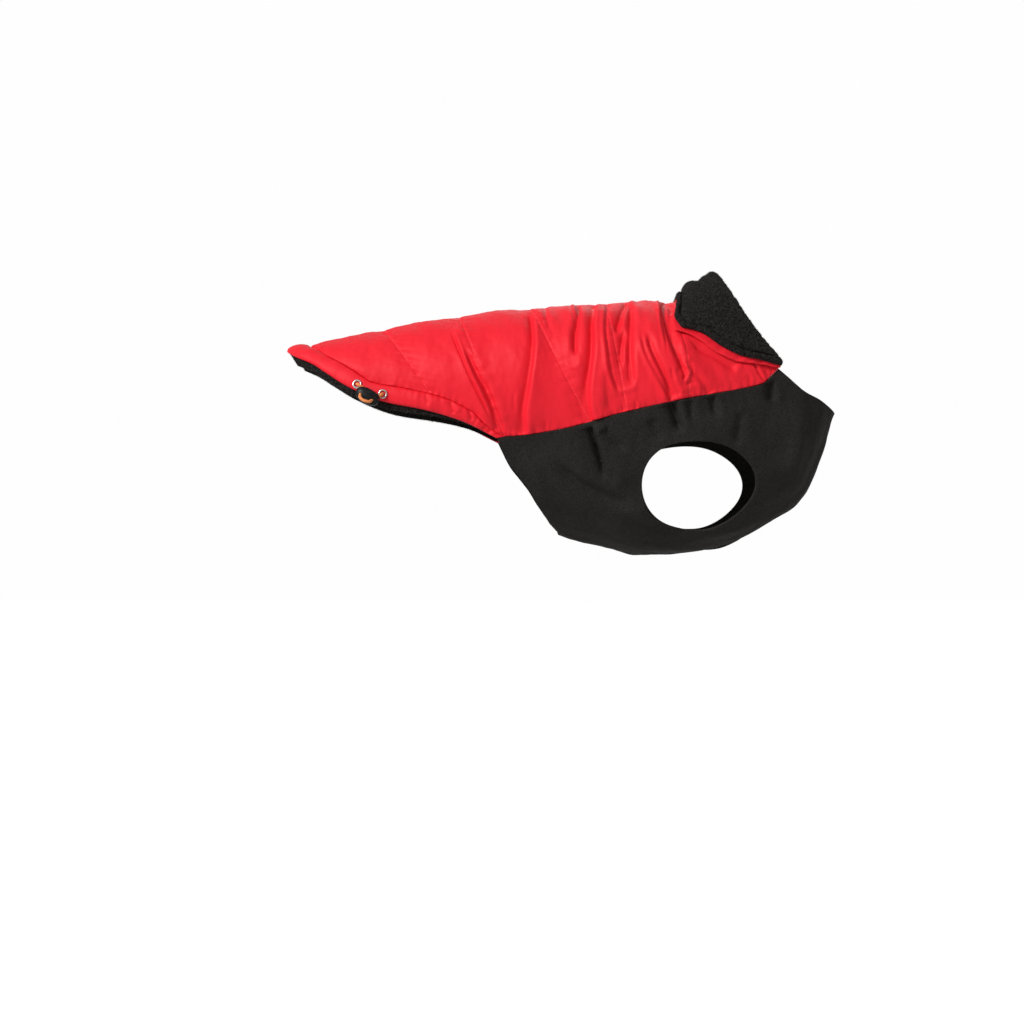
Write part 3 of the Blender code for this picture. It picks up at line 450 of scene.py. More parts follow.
RED_CREASES = (
    Crease(R, ((-146.5, -27.4), (-136.2, -51.4), (-126.5, -73.1), (-116.8, -92.4), (-108.2, -108.7)),
           (1.4, 1.6), 2.8, 1.2, 1, (0.12, 0.15)),
    Crease(R, ((-134.5, -40.3), (-123.6, -63.4), (-113.9, -80.9), (-107.2, -97.2), (-99.5, -121.1)),
           (2.8, 4.4), 5.6, 1.6, -1, (0.25, 0.05), 1.2),
    Crease(R, ((-84.2, -81), (-86.1, -92.5), (-84.2, -105.9)), (1.6, 1.6), 1.2, 0.5, 1, (0.4, 0.4)),
    Crease(R, ((-69.4, -9.7), (-67.7, -34), (-68.8, -52), (-71.7, -71.5), (-74.6, -87.8), (-77.4, -104),
               (-76.5, -116.4), (-78.4, -126.9)), (2, 2.6), 5, 1.6, 1, (0.06, 0.05), 2),
    Crease(R, ((-55, 4), (-53.9, -14.8), (-49.4, -30)), (2.6, 2.2), 2.6, 0.8, 1, (0.02, 0.4)),
    Crease(R, ((-31, 6), (-29.2, -8.1), (-26, -20.7)), (1.6, 1.4), 1.8, 0.7, 1, (0.05, 0.3)),
    Crease(R, ((-22, 7), (-23.8, -15.2), (-27.3, -32.3), (-26.6, -52.3)), (2.4, 3), 4.6, 1.4, -1,
           (0.05, 0.12)),
    Crease(R, ((-37.2, -56.2), (-31.5, -62), (-24.8, -61.1), (-19.9, -54.3)), (1.6, 1.6), -1.2, 0, 1,
           (0.3, 0.3)),
    Crease(R, ((-5, 6), (-10.4, -18.7), (-11, -36.5), (-12.3, -54.4), (-15.3, -73.7), (-16.3, -88.1),
               (-15.3, -102.4), (-11.4, -114.8)), (2.2, 2.4), 6, 2, 1, (0.05, 0.03), 2.4),
    Crease(R, ((7, 6), (2.8, -24.1), (4.1, -44.5), (6.7, -64.2), (11.4, -78.6), (16.2, -86.3)), (1.5, 1.7), 2,
           1.2, -1, (0.08, 0.1), 1.6),
    Crease(R, ((12.3, -82.4), (19, -84.4), (26.7, -82.5), (33.4, -76.7)), (1.6, 1.6), -1.2, 0, 1, (0.3, 0.3)),
    Crease(R, ((1, -66.1), (2.8, -85.3), (6.7, -104.4)), (4, 4), 1.6, 0, 1, (0.3, 0.2)),
    Crease(R, ((29, 9), (20.7, -5.1), (15.6, -18.9), (12.2, -30.4)), (2.4, 2.8), 5.6, 1.8, 1, (0.04, 0.12)),
    Crease(R, ((21.1, -24.2), (17.6, -39.6), (16.4, -52.5), (18.2, -63.2)), (2.2, 2.2), 3.8, 1, 1,
           (0.25, 0.25), 1.4),
    Crease(R, ((28.9, 2), (26.9, -24.3), (25.2, -44.6), (25.8, -64.2), (26.7, -79.6)), (3.2, 3), 5, 1.4, 1,
           (0.1, 0.12), 1.3),
    Crease(R, ((36.1, -33.6), (40.4, -49.6), (48.7, -66.2), (57.2, -81.5), (64.9, -94.9)), (1.4, 1.8), 2.8,
           1.2, -1, (0.1, 0.05)),
    Crease(R, ((41.9, -31.6), (46.2, -46.6), (53.6, -62.3), (60.1, -75.8), (64.9, -92)), (2.6, 2.6), 5, 2.2,
           -1, (0.15, 0.05), 1.2),
    Crease(R, ((60, 10), (56.5, -15.7), (58.2, -34.5), (60.5, -50.5)), (1.2, 1.2), 1.8, 0.6, -1, (0.05, 0.2)),
    Crease(R, ((67, 9), (60.3, -1.6), (60.9, -22.1), (64.8, -39.5), (70.2, -52.4), (74.8, -65)), (2, 2.6),
           5.6, 1.6, -1, (0.05, 0.08), 1.3),
    Crease(R, ((69.1, 4.8), (65, -18.9), (68.7, -39.5), (74.1, -52.3)), (4.6, 3.2), 3.2, 0, 1, (0.1, 0.3)),
    Crease(R, ((73, -56.3), (77.7, -61.1), (80.5, -66.9), (79.5, -72.7), (75.6, -76.6)), (1.6, 1.4), -2.2, 0,
           1, (0.12, 0.12)),
    Crease(R, ((72.9, -60.2), (75.7, -65), (76.6, -69.8), (74.6, -73.7)), (1.6, 1.4), 3, 0, 1, (0.15, 0.15)),
    Crease(R, ((79.8, -56.2), (84.5, -63.9), (84.3, -72.7)), (2, 2), 2, 0, 1, (0.2, 0.3)),
    Crease(R, ((63.2, -63.2), (66.9, -77.6), (72.6, -89.1)), (1.3, 1.4), 1.8, 0.8, 1, (0.12, 0.12)),
    Crease(R, ((83.5, -62), (92.1, -73.5), (102.7, -86.9)), (3.8, 4.4), 3.4, 0.8, 1, (0.3, 0.05)),
    Crease(R, ((80.6, -35.3), (92.9, -44.1), (106.5, -50.8), (120, -58.4), (128.8, -63.2)), (2.2, 4.6), 4, 0,
           1, (0.3, 0.1)),
    Crease(R, ((124.8, -64.2), (130.8, -62.1), (134, -58.1)), (1.6, 1.6), -1.4, 0, 1, (0.3, 0.3)),
    Crease(R, ((144.1, -55), (149.7, -65.7), (155.5, -74.4)), (1, 1.1), 2.4, 0.9, 1, (0.03, 0.03)),
    Crease(R, ((156, -59.6), (158.8, -66.5), (160.7, -70.3)), (1.2, 1.2), 1, 0.4, 1, (0.2, 0.2)),
    Crease(R, ((-55.4, -109.8), (-55.3, -123.2)), (1.2, 1.2), 1.6, 0.5, 1, (0.4, 0.02)),
    Crease(R, ((29.5, -93), (31.5, -100.6)), (1.4, 1.4), 1.2, 0.4, 1, (0.4, 0.02)),
    Crease(R, ((17.1, -96.8), (19.1, -103.4)), (1.2, 1.2), 1, 0.4, 1, (0.4, 0.02)),
    Crease(R, ((139.7, -66.9), (142.4, -76.6)), (1.4, 1.4), 1.2, 0.5, 1, (0.4, 0.02)),
    Crease(R, ((-98.6, -115.4), (-95.7, -126.9)), (1.2, 1.2), 1.6, 0.6, 1, (0.4, 0.02)),
    Crease(L, ((-138.9, -24.9), (-129.1, -47.0), (-120.2, -67.9), (-112.6, -86.9), (-106.0, -104.5)),
           (1.6, 1.8), 3.1, 1.3, 1, (0.12, 0.15)),
    Crease(L, ((-142.9, -40.5), (-130.7, -60.6), (-120.0, -80.0), (-111.2, -99.4), (-103.7, -119.7)),
           (3.1, 4.9), 5, 1.4, -1, (0.25, 0.05), 1.2),
    Crease(L, ((-73.6, -76.4), (-77.0, -88.5), (-80.8, -100.8)), (1.6, 1.6), 1.2, 0.5, 1, (0.4, 0.4)),
    Crease(L, ((-57.8, -11.5), (-57.6, -32.7), (-58.9, -52.5), (-61.8, -70.6), (-65.2, -87.1),
               (-68.1, -101.9), (-69.9, -114.8), (-71.0, -126.4)), (2.2, 2.9), 4.2, 1.4, 1, (0.06, 0.05), 2),
    Crease(L, ((-65.4, -0.1), (-59.7, -17.0), (-54.4, -33.4)), (2.2, 1.8), 3.1, 1, 1, (0.02, 0.4)),
    Crease(L, ((-38.4, 1.9), (-33.7, -11.3), (-29.8, -24.3)), (1.6, 1.4), 2.2, 0.8, 1, (0.05, 0.3)),
    Crease(L, ((-14.4, 3.9), (-17.0, -16.0), (-19.2, -35.3), (-20.8, -54.3)), (2.7, 3.3), 5.1, 1.5, -1,
           (0.05, 0.12)),
    Crease(L, ((-28.6, -53.1), (-23.4, -55.1), (-18.5, -54.4), (-13.7, -51.2)), (1.6, 1.6), -1.2, 0, 1,
           (0.3, 0.3)),
    Crease(L, ((1.6, 3.9), (-1.3, -17.3), (-4.0, -37.1), (-6.5, -55.3), (-8.6, -72.1), (-9.7, -87.5),
               (-8.7, -101.4), (-6.0, -114.5)), (2.6, 2.8), 6.6, 2.2, 1, (0.05, 0.03), 2.4),
    Crease(L, ((11.6, 2.9), (10.5, -22.1), (10.5, -44.3), (12.3, -62.4), (15.9, -76.4), (20.8, -87.6)),
           (1.4, 1.5), 1.8, 1.1, -1, (0.08, 0.1), 1.6),
    Crease(L, ((-9.4, -64.8), (-3.5, -83.6), (1.7, -102.3)), (4, 4), 1.6, 0, 1, (0.3, 0.2)),
    Crease(L, ((36.6, 5.8), (29.4, -7.6), (23.1, -20.5), (18.0, -32.8)), (3, 3.5), 5, 1.6, 1, (0.04, 0.12)),
    Crease(L, ((15.7, -28.7), (15.7, -42.4), (16.6, -55.1), (18.8, -66.9)), (2, 2), 3.4, 0.9, 1, (0.25, 0.25),
           1.4),
    Crease(L, ((34.5, -2.0), (33.0, -25.0), (31.5, -46.1), (29.8, -64.9), (28.1, -82.0)), (3.6, 3.3), 4, 1.1,
           1, (0.1, 0.12), 1.3),
    Crease(L, ((41.7, -31.9), (47.9, -47.7), (54.3, -63.1), (60.5, -77.9), (66.3, -92.0)), (1.4, 1.8), 2.8,
           1.2, -1, (0.1, 0.05)),
    Crease(L, ((49.5, -34.0), (54.8, -48.8), (59.8, -63.5), (63.9, -78.3), (67.1, -93.2)), (3.1, 3.1), 4.5, 2,
           -1, (0.15, 0.05), 1.2),
    Crease(L, ((53.6, 5.8), (54.8, -16.0), (57.1, -35.7), (60.7, -53.5)), (1.2, 1.2), 1.8, 0.6, -1,
           (0.05, 0.2)),
    Crease(L, ((71.6, 6.8), (69.1, -7.5), (68.4, -22.9), (70.3, -38.4), (74.3, -52.6), (79.4, -65.7)),
           (2.4, 3.1), 5, 1.4, -1, (0.05, 0.08), 1.3),
    Crease(L, ((70.8, -63.9), (73.1, -76.8), (74.8, -89.3)), (1.3, 1.4), 1.8, 0.8, 1, (0.12, 0.12)),
    Crease(L, ((90.1, -57.8), (97.6, -69.9), (104.5, -82.2)), (4.2, 4.9), 3.4, 0.8, 1, (0.3, 0.05)),
    Crease(L, ((84.2, -34.6), (97.4, -42.4), (109.7, -49.6), (120.4, -56.0), (129.4, -61.9)), (2.4, 5.1), 3.6,
           0, 1, (0.3, 0.1)),
    Crease(L, ((138.7, -51.9), (146.0, -61.5), (152.5, -70.9)), (1.1, 1.2), 2.2, 0.8, 1, (0.03, 0.03)),
    Crease(L, ((-68.8, -106.6), (-57.9, -119.7)), (1.2, 1.2), 1.6, 0.5, 1, (0.4, 0.02)),
    Crease(L, ((42.1, -88.1), (39.3, -95.6)), (1.4, 1.4), 1.2, 0.4, 1, (0.4, 0.02)),
)
BLACK_CREASES = (
    Crease(R, ((-13.3, -117.6), (-8.4, -132.8), (-3.4, -148.1), (0.6, -162.4), (2.7, -169.1)), (2.7, 2.2),
           7.5, 2, 1, (0.03, 0.25), 1.5),
    Crease(R, ((-0.9, -118.6), (9.8, -130), (23.3, -142.4)), (4.7, 5.4), 4.4, 1, 1, (0.1, 0.4)),
    Crease(R, ((-50.4, -148.9), (-27.1, -167.2), (-5.7, -179.7), (16.6, -188.4), (38.1, -196.1)), (6.1, 8.8),
           6.8, 2.4, -1, (0.25, 0.25)),
    Crease(R, ((64.9, -94.9), (69.8, -109.1), (75.8, -125.3)), (4.1, 3.2), 8.5, 1.8, 1, (0.02, 0.35), 1.6),
    Crease(R, ((80.4, -92.9), (83.3, -104.3), (86.3, -115.7)), (3.5, 4.1), 3.4, 0.9, 1, (0.1, 0.5)),
    Crease(R, ((103.7, -88.8), (106.6, -100.3), (108.7, -111.7)), (3.2, 3.5), 5.1, 1.2, 1, (0.02, 0.5), 1.4),
    Crease(R, ((160.5, -75.2), (162.4, -84), (163.3, -95.6)), (3.5, 4.1), 6.1, 1.4, 1, (0.02, 0.4), 1.5),
    Crease(R, ((44, -110.1), (48.9, -121.5), (57.7, -132.9)), (5.4, 6.8), 2.7, 0.8, 1, (0.2, 0.4)),
    Crease(R, ((-80.3, -136.4), (-64.8, -159.4), (-52.9, -188.3)), (7, 8), -1.8, 0, 1, (0.3, 0.3)),
    Crease(R, ((17.3, -207.8), (56.6, -215.6), (95.7, -213.7)), (6, 6), 1.6, 0.8, 1, (0.3, 0.3)),
    Crease(R, ((133.2, -101.9), (129.4, -121.1), (128.8, -140.3)), (5.4, 6.8), 3.4, 0.9, 1, (0.2, 0.4)),
    Crease(R, ((192.2, -91), (189.2, -120.3), (184.7, -149.4), (182.1, -173.6)), (10, 10), -4.2, 0, 1,
           (0.3, 0.3)),
    Crease(L, ((-5.7, -114.2), (-1.1, -128.9), (2.4, -142.7), (4.3, -154.6), (4.9, -164.7)), (3, 2.4), 6.8,
           1.8, 1, (0.03, 0.25), 1.5),
    Crease(L, ((9.7, -114.2), (18.5, -125.8), (26.7, -137.6)), (4.7, 5.4), 4.4, 1, 1, (0.1, 0.4)),
    Crease(L, ((-43.8, -148.9), (-21.3, -163.8), (0.2, -176.5), (20.4, -186.6), (39.9, -195.2)), (6.8, 9.7),
           6.5, 2.3, -1, (0.25, 0.25)),
    Crease(L, ((73.5, -90.0), (76.3, -104.8), (78.4, -119.8)), (4.5, 3.6), 7.1, 1.5, 1, (0.02, 0.35), 1.6),
    Crease(L, ((111.3, -85.0), (111.6, -96.3), (110.9, -107.5)), (3.2, 3.5), 5.1, 1.2, 1, (0.02, 0.5), 1.4),
    Crease(L, ((154.1, -72.7), (157.5, -82.5), (159.9, -92.7)), (3.9, 4.5), 6.1, 1.4, 1, (0.02, 0.4), 1.5),
    Crease(L, ((-75.7, -130.7), (-63.1, -155.7), (-51.9, -181.5)), (7, 8), -1.6, 0, 1, (0.3, 0.3)),
    Crease(L, ((7.9, -201.6), (50.0, -205.1), (91.1, -207.4)), (6, 6), 1.6, 0.8, 1, (0.3, 0.3)),
    Crease(L, ((138.8, -101.9), (134.8, -120.7), (130.2, -139.5)), (5.4, 6.8), 3.1, 0.8, 1, (0.2, 0.4)),
    Crease(L, ((185.8, -86.2), (184.6, -114.2), (183.3, -141.2), (182.3, -167.1)), (11.1, 11.1), -4.2, 0, 1,
           (0.3, 0.3)),
)
CASING_CREASES = (
    Crease(R, ((-147.0, -92.0), (-145.0, -99.0), (-143.5, -106.0)), (2.4, 2.0), 1.6, 0.8, 1, (0.3, 0.2)),
    Crease(R, ((-131.0, -98.0), (-128.0, -105.0), (-125.5, -112.0)), (2.2, 1.8), 1.4, 0.7, 1, (0.3, 0.2)),
    Crease(R, ((-172.0, -84.0), (-169.0, -91.0), (-168.0, -98.0)), (2.6, 2.0), 1.2, 0.6, 1, (0.3, 0.3)),
    Crease(L, ((-139.0, -96.0), (-136.0, -103.0), (-134.5, -109.0)), (2.4, 2.0), 1.4, 0.7, 1, (0.3, 0.2)),
    Crease(L, ((-182.0, -82.0), (-180.0, -89.0), (-178.0, -96.0)), (2.6, 2.0), 1.3, 0.6, 1, (0.3, 0.3)),
    Crease(L, ((-228.0, -72.0), (-226.0, -78.0), (-223.0, -86.0)), (2.4, 2.0), 1.2, 0.6, 1, (0.3, 0.3)),
)


@dataclass(frozen=True)
class Relief:
    """What the worn cloth does over the form: the solid's broad folds and a set of creases.

    Each fades out toward the centre line, over a distance from it in mm.
    """

    creases: tuple[Crease, ...] = ()
    folds: tuple[Ridge, ...] = SOLID_FOLDS
    fold_fade: float = 26.0
    crease_fade: float = 22.0

    def lift(self, points: Array) -> Array:
        """The sum of each fold and crease on its own side, times its fade.

        Args:
            points: points on the form, in mm.

        Returns:
            How far the cloth stands up at each.
        """
        places, off_centre = points[..., [0, 2]], np.abs(points[..., 1])
        total = np.zeros(points.shape[:-1])
        for side in Side:
            here = np.sign(points[..., 1]) == side.value
            if not here.any():
                continue
            at = places[here]
            for parts, fade in ((self.folds, self.fold_fade), (self.creases, self.crease_fade)):
                clear = smooth_step(off_centre[here] / fade)
                total[here] += sum(part.lift(at) for part in parts if part.side is side) * clear
        return total


FOLDS = Relief()


# ---------------------------------------------------------------- the cut


@dataclass(frozen=True)
class CoatCut:
    """Where the seams, quilt lines and edges lie, as tables of side-view points in mm."""

    quilt_spine_x: tuple[float, ...] = (-289, -214, -140, -70, 3, 65, 93)
    quilt_edge_x: tuple[float, ...] = (-250.9, -165.2, -94.8, -13.1, 22.2, 80.8, 170.6)
    quilt_puff: tuple[float, ...] = (3.4, 3.6, 3.6, 3.6, 3.6, 1.6, 0.0)
    corner_line: int = 2
    panel_edge: tuple[tuple[float, float], ...] = (
        (-250.9, -57.6), (-237.7, -65.9), (-223.7, -74.5), (-191.5, -80.6), (-156.5, -89.0),
        (-125.6, -103.6), (-111.1, -117.1), (-94.8, -126.7), (-41.8, -120.2), (15.5, -105.1), (80.8, -90.7),
        (131.9, -81.4), (154.0, -76.1), (162.3, -69.0), (170.6, -61.0),
    )
    hem: tuple[tuple[float, float], ...] = (
        (-312.0, -41.5), (-303.0, -47.0), (-283.0, -56.0), (-265.3, -67.5), (-245.2, -79.7), (-210.9, -93.6),
        (-172.0, -101.5), (-136.2, -112.2), (-102.5, -128.6),
    )
    casing_spans: tuple[tuple[float, float], ...] = (
        (-289.0, -312.0), (-263.5, -275.0), (-237.7, -247.0), (-191.5, -197.0), (-156.5, -161.0),
        (-125.6, -131.0), (-111.1, -117.0), (-94.8, -102.5),
    )
    rear_edge: tuple[tuple[float, float], ...] = (
        (-102.5, -128.6), (-89.9, -153.5), (-80.2, -166.0), (-70.5, -178.6), (-60.6, -194.1),
        (-50.6, -208.9), (-42.3, -218.9),
    )
    neck_edge: tuple[tuple[float, float], ...] = ((170.6, -61.0), (192.8, -79.1), (214.2, -90.1))
    collar_edge: tuple[tuple[float, float], ...] = (
        (76.0, 5.4), (72.0, -5.0), (69.5, -19.0), (74.0, -26.0), (85.0, -28.5), (94.0, -31.5),
        (111.0, -42.5), (133.0, -52.0), (153.0, -56.0), (169.0, -59.0),
    )

    @property
    def channels(self) -> int:
        """How many quilted channels there are."""
        return len(self.quilt_spine_x) - 1

    def panel_edge_place(self, line: Array) -> tuple[Array, Array]:
        """(u, phi) on the back panel's edge where a line of this index ends.

        Args:
            line: line indices, whole at the quilt lines.

        Returns:
            u and phi of each end.
        """
        index = np.arange(len(self.quilt_edge_x), dtype=float)
        x = smooth_curve(line, index, np.array(self.quilt_edge_x))
        edge_x, edge_z = np.array(self.panel_edge).T
        return FORM.locate(x, smooth_curve(x, edge_x, edge_z))

    def back_rows(self, lines: Array, shares: Array) -> tuple[Array, Array]:
        """(u, phi) grids of the back, a row for each line index, straight in the side view.

        phi is the edge's phi times the share, and u goes from the spine's to the edge's by
        (1 - cos phi) / (1 - cos phi_edge).

        Args:
            lines: the rows' line indices.
            shares: shares of the way from the spine, -1 to 1.

        Returns:
            u and phi grids.
        """
        index = np.arange(len(self.quilt_spine_x), dtype=float)
        spine_x = smooth_curve(lines, index, np.array(self.quilt_spine_x))
        u_edge, phi_edge = self.panel_edge_place(lines)
        return self.across(FORM.spine_u(spine_x), u_edge, phi_edge, shares)

    @staticmethod
    def across(u_spine: Array, u_edge: Array, phi_edge: Array, shares: Array) -> tuple[Array, Array]:
        """Rows over the spine from edge to edge, each straight in the side view.

        Args:
            u_spine: u of each row on the spine.
            u_edge: u of each row's end.
            phi_edge: phi there.
            shares: shares of the way from the spine, -1 to 1.

        Returns:
            u and phi grids.
        """
        phi = phi_edge[:, None] * shares[None, :]
        drop = (1 - np.cos(phi)) / (1 - np.cos(phi_edge))[:, None]
        return u_spine[:, None] + (u_edge - u_spine)[:, None] * drop, phi

    def hem_z(self, x: Array) -> Array:
        """The hem's height at x in the side view."""
        hem_x, hem_z = np.array(self.hem).T
        return smooth_curve(x, hem_x, hem_z)

    def casing_seam(self, rows_on_spine: int, rows_along: int) -> tuple[Array, Array]:
        """(u, phi) down one half of the casing's seam, from the spine to the corner.

        Args:
            rows_on_spine: cells along the tail end's stretch.
            rows_along: cells from there to the corner.

        Returns:
            u and phi of the seam's points.
        """
        u_row, phi_row = self.back_rows(np.array([0.0]), np.linspace(0, 1, rows_on_spine + 1))
        lines = np.linspace(0, self.corner_line, rows_along + 1)[1:]
        u_edge, phi_edge = self.panel_edge_place(lines)
        return np.concatenate([u_row[0], u_edge]), np.concatenate([phi_row[0], phi_edge])

    def casing_place(self, seam_u: Array, seam_phi: Array, across: Array) -> tuple[Array, Array]:
        """(u, phi) on the casing, a share of the straight way from its seam to its hem.

        Args:
            seam_u: u of points on the seam.
            seam_phi: their phi.
            across: shares of the way to the hem.

        Returns:
            u and phi grids, a row for each point of the seam.
        """
        seam_x = FORM.point(seam_u, seam_phi)[..., 0]
        spans_x, hems_x = np.array(self.casing_spans).T
        x = smooth_curve(seam_x, spans_x, hems_x)
        hem_u, hem_phi = FORM.locate(x, self.hem_z(x))
        hem_phi = np.where(seam_phi == 0, 0.0, hem_phi)
        share = np.asarray(across)
        u = seam_u[:, None] + (hem_u - seam_u)[:, None] * share
        return u, seam_phi[:, None] + (hem_phi - seam_phi)[:, None] * share


CUT = CoatCut()


# ---------------------------------------------------------------- meshes


def grid_quads(rows: int, columns: int, start: int = 0, wrap: bool = False) -> Array:
    """The faces of a grid of points numbered row by row from start, closed round its rows if wrap.

    Args:
        rows: rows of points.
        columns: points in a row.
        start: the first point's number.
        wrap: whether the last row joins the first.

    Returns:
        Point numbers, four to a face.
    """
    i = np.arange(rows if wrap else rows - 1)[:, None]
    j = np.arange(columns - 1)[None, :]
    a, b = start + i * columns + j, start + ((i + 1) % rows) * columns + j
    return np.stack([a, b, b + 1, a + 1], axis=-1).reshape(-1, 4)


def border_loops(number: Array, wrap: bool) -> list[Array]:
    """Point numbers round each border of a grid, the first point again at the end.

    Args:
        number: the grid's point numbers.
        wrap: whether its last row joins its first.

    Returns:
        Two loops for a wrapped grid, and one for any other.
    """
    if wrap:
        return [np.append(number[:, 0], number[0, 0]), np.append(number[:, -1], number[0, -1])[::-1]]
    return [np.concatenate([number[:, 0], number[-1, 1:], number[-2::-1, -1], number[0, -2::-1]])]


def zipped(fine: Array, coarse: Array, kept: Array) -> Array:
    """Triangles between a border's outer loop and an inner loop with only some of its points.

    Args:
        fine: point numbers of the outer loop, the first again at the end.
        coarse: point numbers of the inner loop, one for each kept place.
        kept: places in the outer loop that the inner loop has, from the first to the last.

    Returns:
        One triangle for each outer step and one for each inner step.
    """
    step = np.arange(len(fine) - 1)
    owner = np.searchsorted(kept, step, side="right") - 1
    outside = np.stack([fine[:-1], coarse[owner], fine[1:]], axis=-1)
    inside = np.stack([coarse[:-1], coarse[1:], fine[kept[1:]]], axis=-1)
    return np.concatenate([outside, inside])


def tube_quads(rings: int, count: int) -> Array:
    """The faces of a tube of rings with count points each, numbered ring by ring.

    Args:
        rings: how many rings there are.
        count: points in a ring.

    Returns:
        Point numbers, four to a face.
    """
    i, j = np.arange(rings - 1)[:, None] * count, np.arange(count)[None, :]
    k = (j + 1) % count
    return np.stack([i + j, i + k, i + count + k, i + count + j], axis=-1).reshape(-1, 4)


def thinned(count: int, step: int, whole: int) -> Array:
    """Every step-th number below count, and all within the first and last few.

    Args:
        count: how many numbers there are.
        step: the step in the middle.
        whole: how many are all kept at each end.

    Returns:
        The kept numbers.
    """
    number = np.arange(count)
    near_end = (number < whole) | (number >= count - whole)
    return number[near_end | (number % step == 0)]


def signed_volume(points: Array, quads: Array) -> float:
    """Six times the volume that the faces enclose, negative where they point inwards.

    Args:
        points: points in mm.
        quads: faces of four point numbers.

    Returns:
        The volume, six times over.
    """
    corners = points[quads] - points.mean(axis=0)
    first = np.linalg.det(corners[:, [0, 1, 2]])
    return float((first + np.linalg.det(corners[:, [0, 2, 3]])).sum())


def in_scene(name: str, data: bpy.types.ID) -> bpy.types.Object:
    """A new object of this mesh, light or camera, linked to the scene.

    Args:
        name: the object's name.
        data: what it shows.

    Returns:
        The object.
    """
    made = bpy.data.objects.new(name, data)
    bpy.context.scene.collection.objects.link(made)
    return made


def plain_solid(name: str, points: Array, quads: Array, others: list[list[int]]) -> bpy.types.Object:
    """A mesh object with its faces turned outward, without smooth shading or UVs.

    Args:
        name: the object's name.
        points: points in mm.
        quads: its four-cornered faces, which tell inside from outside.
        others: the faces that close it.

    Returns:
        The object, linked to the scene.
    """
    mesh = bpy.data.meshes.new(name)
    mesh.from_pydata((points * MM).tolist(), [], quads.tolist() + others)
    if signed_volume(points, quads) < 0:
        mesh.flip_normals()
    return in_scene(name, mesh)


def prism(name: str, points: Array) -> bpy.types.Object:
    """A closed solid between two rings of as many points, the first half of them and the second.

    Args:
        name: the object's name.
        points: points in mm.

    Returns:
        The object, linked to the scene.
    """
    count = len(points) // 2
    ring = np.arange(count)
    return plain_solid(name, points, tube_quads(2, count), [ring[::-1].tolist(), (ring + count).tolist()])


def new_piece(name: str, points: Array, faces: list[Array], uv: Array | None = None) -> bpy.types.Object:
    """A mesh object at the origin from points in mm, shaded smooth.

    Args:
        name: the piece's name.
        points: points in mm, shape (n, 3).
        faces: sets of faces as point numbers, each of shape (m, corners).
        uv: a UV for each point, or None.

    Returns:
        The new object, linked to the scene.
    """
    mesh = bpy.data.meshes.new(name)
    corners = np.concatenate([np.full(len(part), part.shape[1]) for part in faces])
    flat = np.concatenate([part.ravel() for part in faces]).astype(np.int32)
    mesh.vertices.add(len(points))
    mesh.vertices.foreach_set("co", (points * MM).astype(np.float32).ravel())
    mesh.loops.add(len(flat))
    mesh.loops.foreach_set("vertex_index", flat)
    mesh.polygons.add(len(corners))
    mesh.polygons.foreach_set("loop_start", (np.cumsum(corners) - corners).astype(np.int32))
    mesh.polygons.foreach_set("loop_total", corners.astype(np.int32))
    if uv is not None:
        layer = mesh.uv_layers.new(name="cloth")
        layer.data.foreach_set("uv", uv[flat].astype(np.float32).ravel())
    mesh.update(calc_edges=True)
    mesh.validate()
    mesh.shade_smooth()
    return in_scene(name, mesh)


@dataclass(frozen=True)
class Thinning:
    """How much coarser a wall's inner grid is than its outer one: a step along rows and columns."""

    rows: int = 1
    columns: int = 1
    whole: int = 5


def wall_piece(
    name: str, outer: Array, inner: Array, uv: Array, wrap: bool = False, thin: Thinning = Thinning()
) -> bpy.types.Object:
    """A closed cloth wall between two grids of points in mm with the same UVs.

    The inner grid keeps only some of its rows and columns, and triangles join it to the outer border.

    Args:
        name: the piece's name.
        outer: the outer face's points, shape (rows, columns, 3).
        inner: the inner face's, of the same shape.
        uv: their cloth coordinates in mm.
        wrap: whether the last row joins the first.
        thin: how much coarser the inner face is.

    Returns:
        The wall's object.
    """
    rows, columns = outer.shape[:2]
    kept_rows = thinned(rows, thin.rows, 0 if wrap else thin.whole)
    kept_columns = thinned(columns, thin.columns, thin.whole)
    inner, inner_uv = (grid[kept_rows][:, kept_columns] for grid in (inner, uv))
    start = rows * columns
    number = np.arange(start).reshape(rows, columns)
    few = start + np.arange(inner[..., 0].size).reshape(inner.shape[:2])
    outside = grid_quads(rows, columns, wrap=wrap)
    inside = grid_quads(*few.shape, start, wrap)[:, ::-1]
    spread = np.full((rows, columns), -1)
    spread[np.ix_(kept_rows, kept_columns)] = few
    strips = []
    for fine, matching in zip(border_loops(number, wrap), border_loops(spread, wrap)):
        kept = np.flatnonzero(matching >= 0)
        strips.append(zipped(fine, matching[kept], kept))
    points = np.concatenate([outer.reshape(-1, 3), inner.reshape(-1, 3)])
    faces = [np.concatenate([outside, inside]), np.concatenate(strips)]
    if signed_volume(points, faces[0]) < 0:
        faces = [part[:, ::-1] for part in faces]
    both = np.concatenate([uv.reshape(-1, 2), inner_uv.reshape(-1, 2)]) * 0.1
    return new_piece(name, points, faces, both)


def grid_normals(points: Array) -> Array:
    """Unit normals of a grid of points, from the cross product of its two central differences."""
    return unit(np.cross(np.gradient(points, axis=0), np.gradient(points, axis=1)))


def edge_distance(points: Array, borders: tuple[Border, ...]) -> Array:
    """How far each grid point lies from the nearest of the borders, measured along the grid in mm.

    Args:
        points: the grid, shape (rows, columns, 3).
        borders: the axis and end of each border.

    Returns:
        The distances, shape (rows, columns).
    """
    nearest = np.full(points.shape[:2], 1e9)
    for axis, end in borders:
        run = run_along(points, axis.value)
        nearest = np.minimum(nearest, run.take([-1], axis.value) - run if end else run)
    return nearest


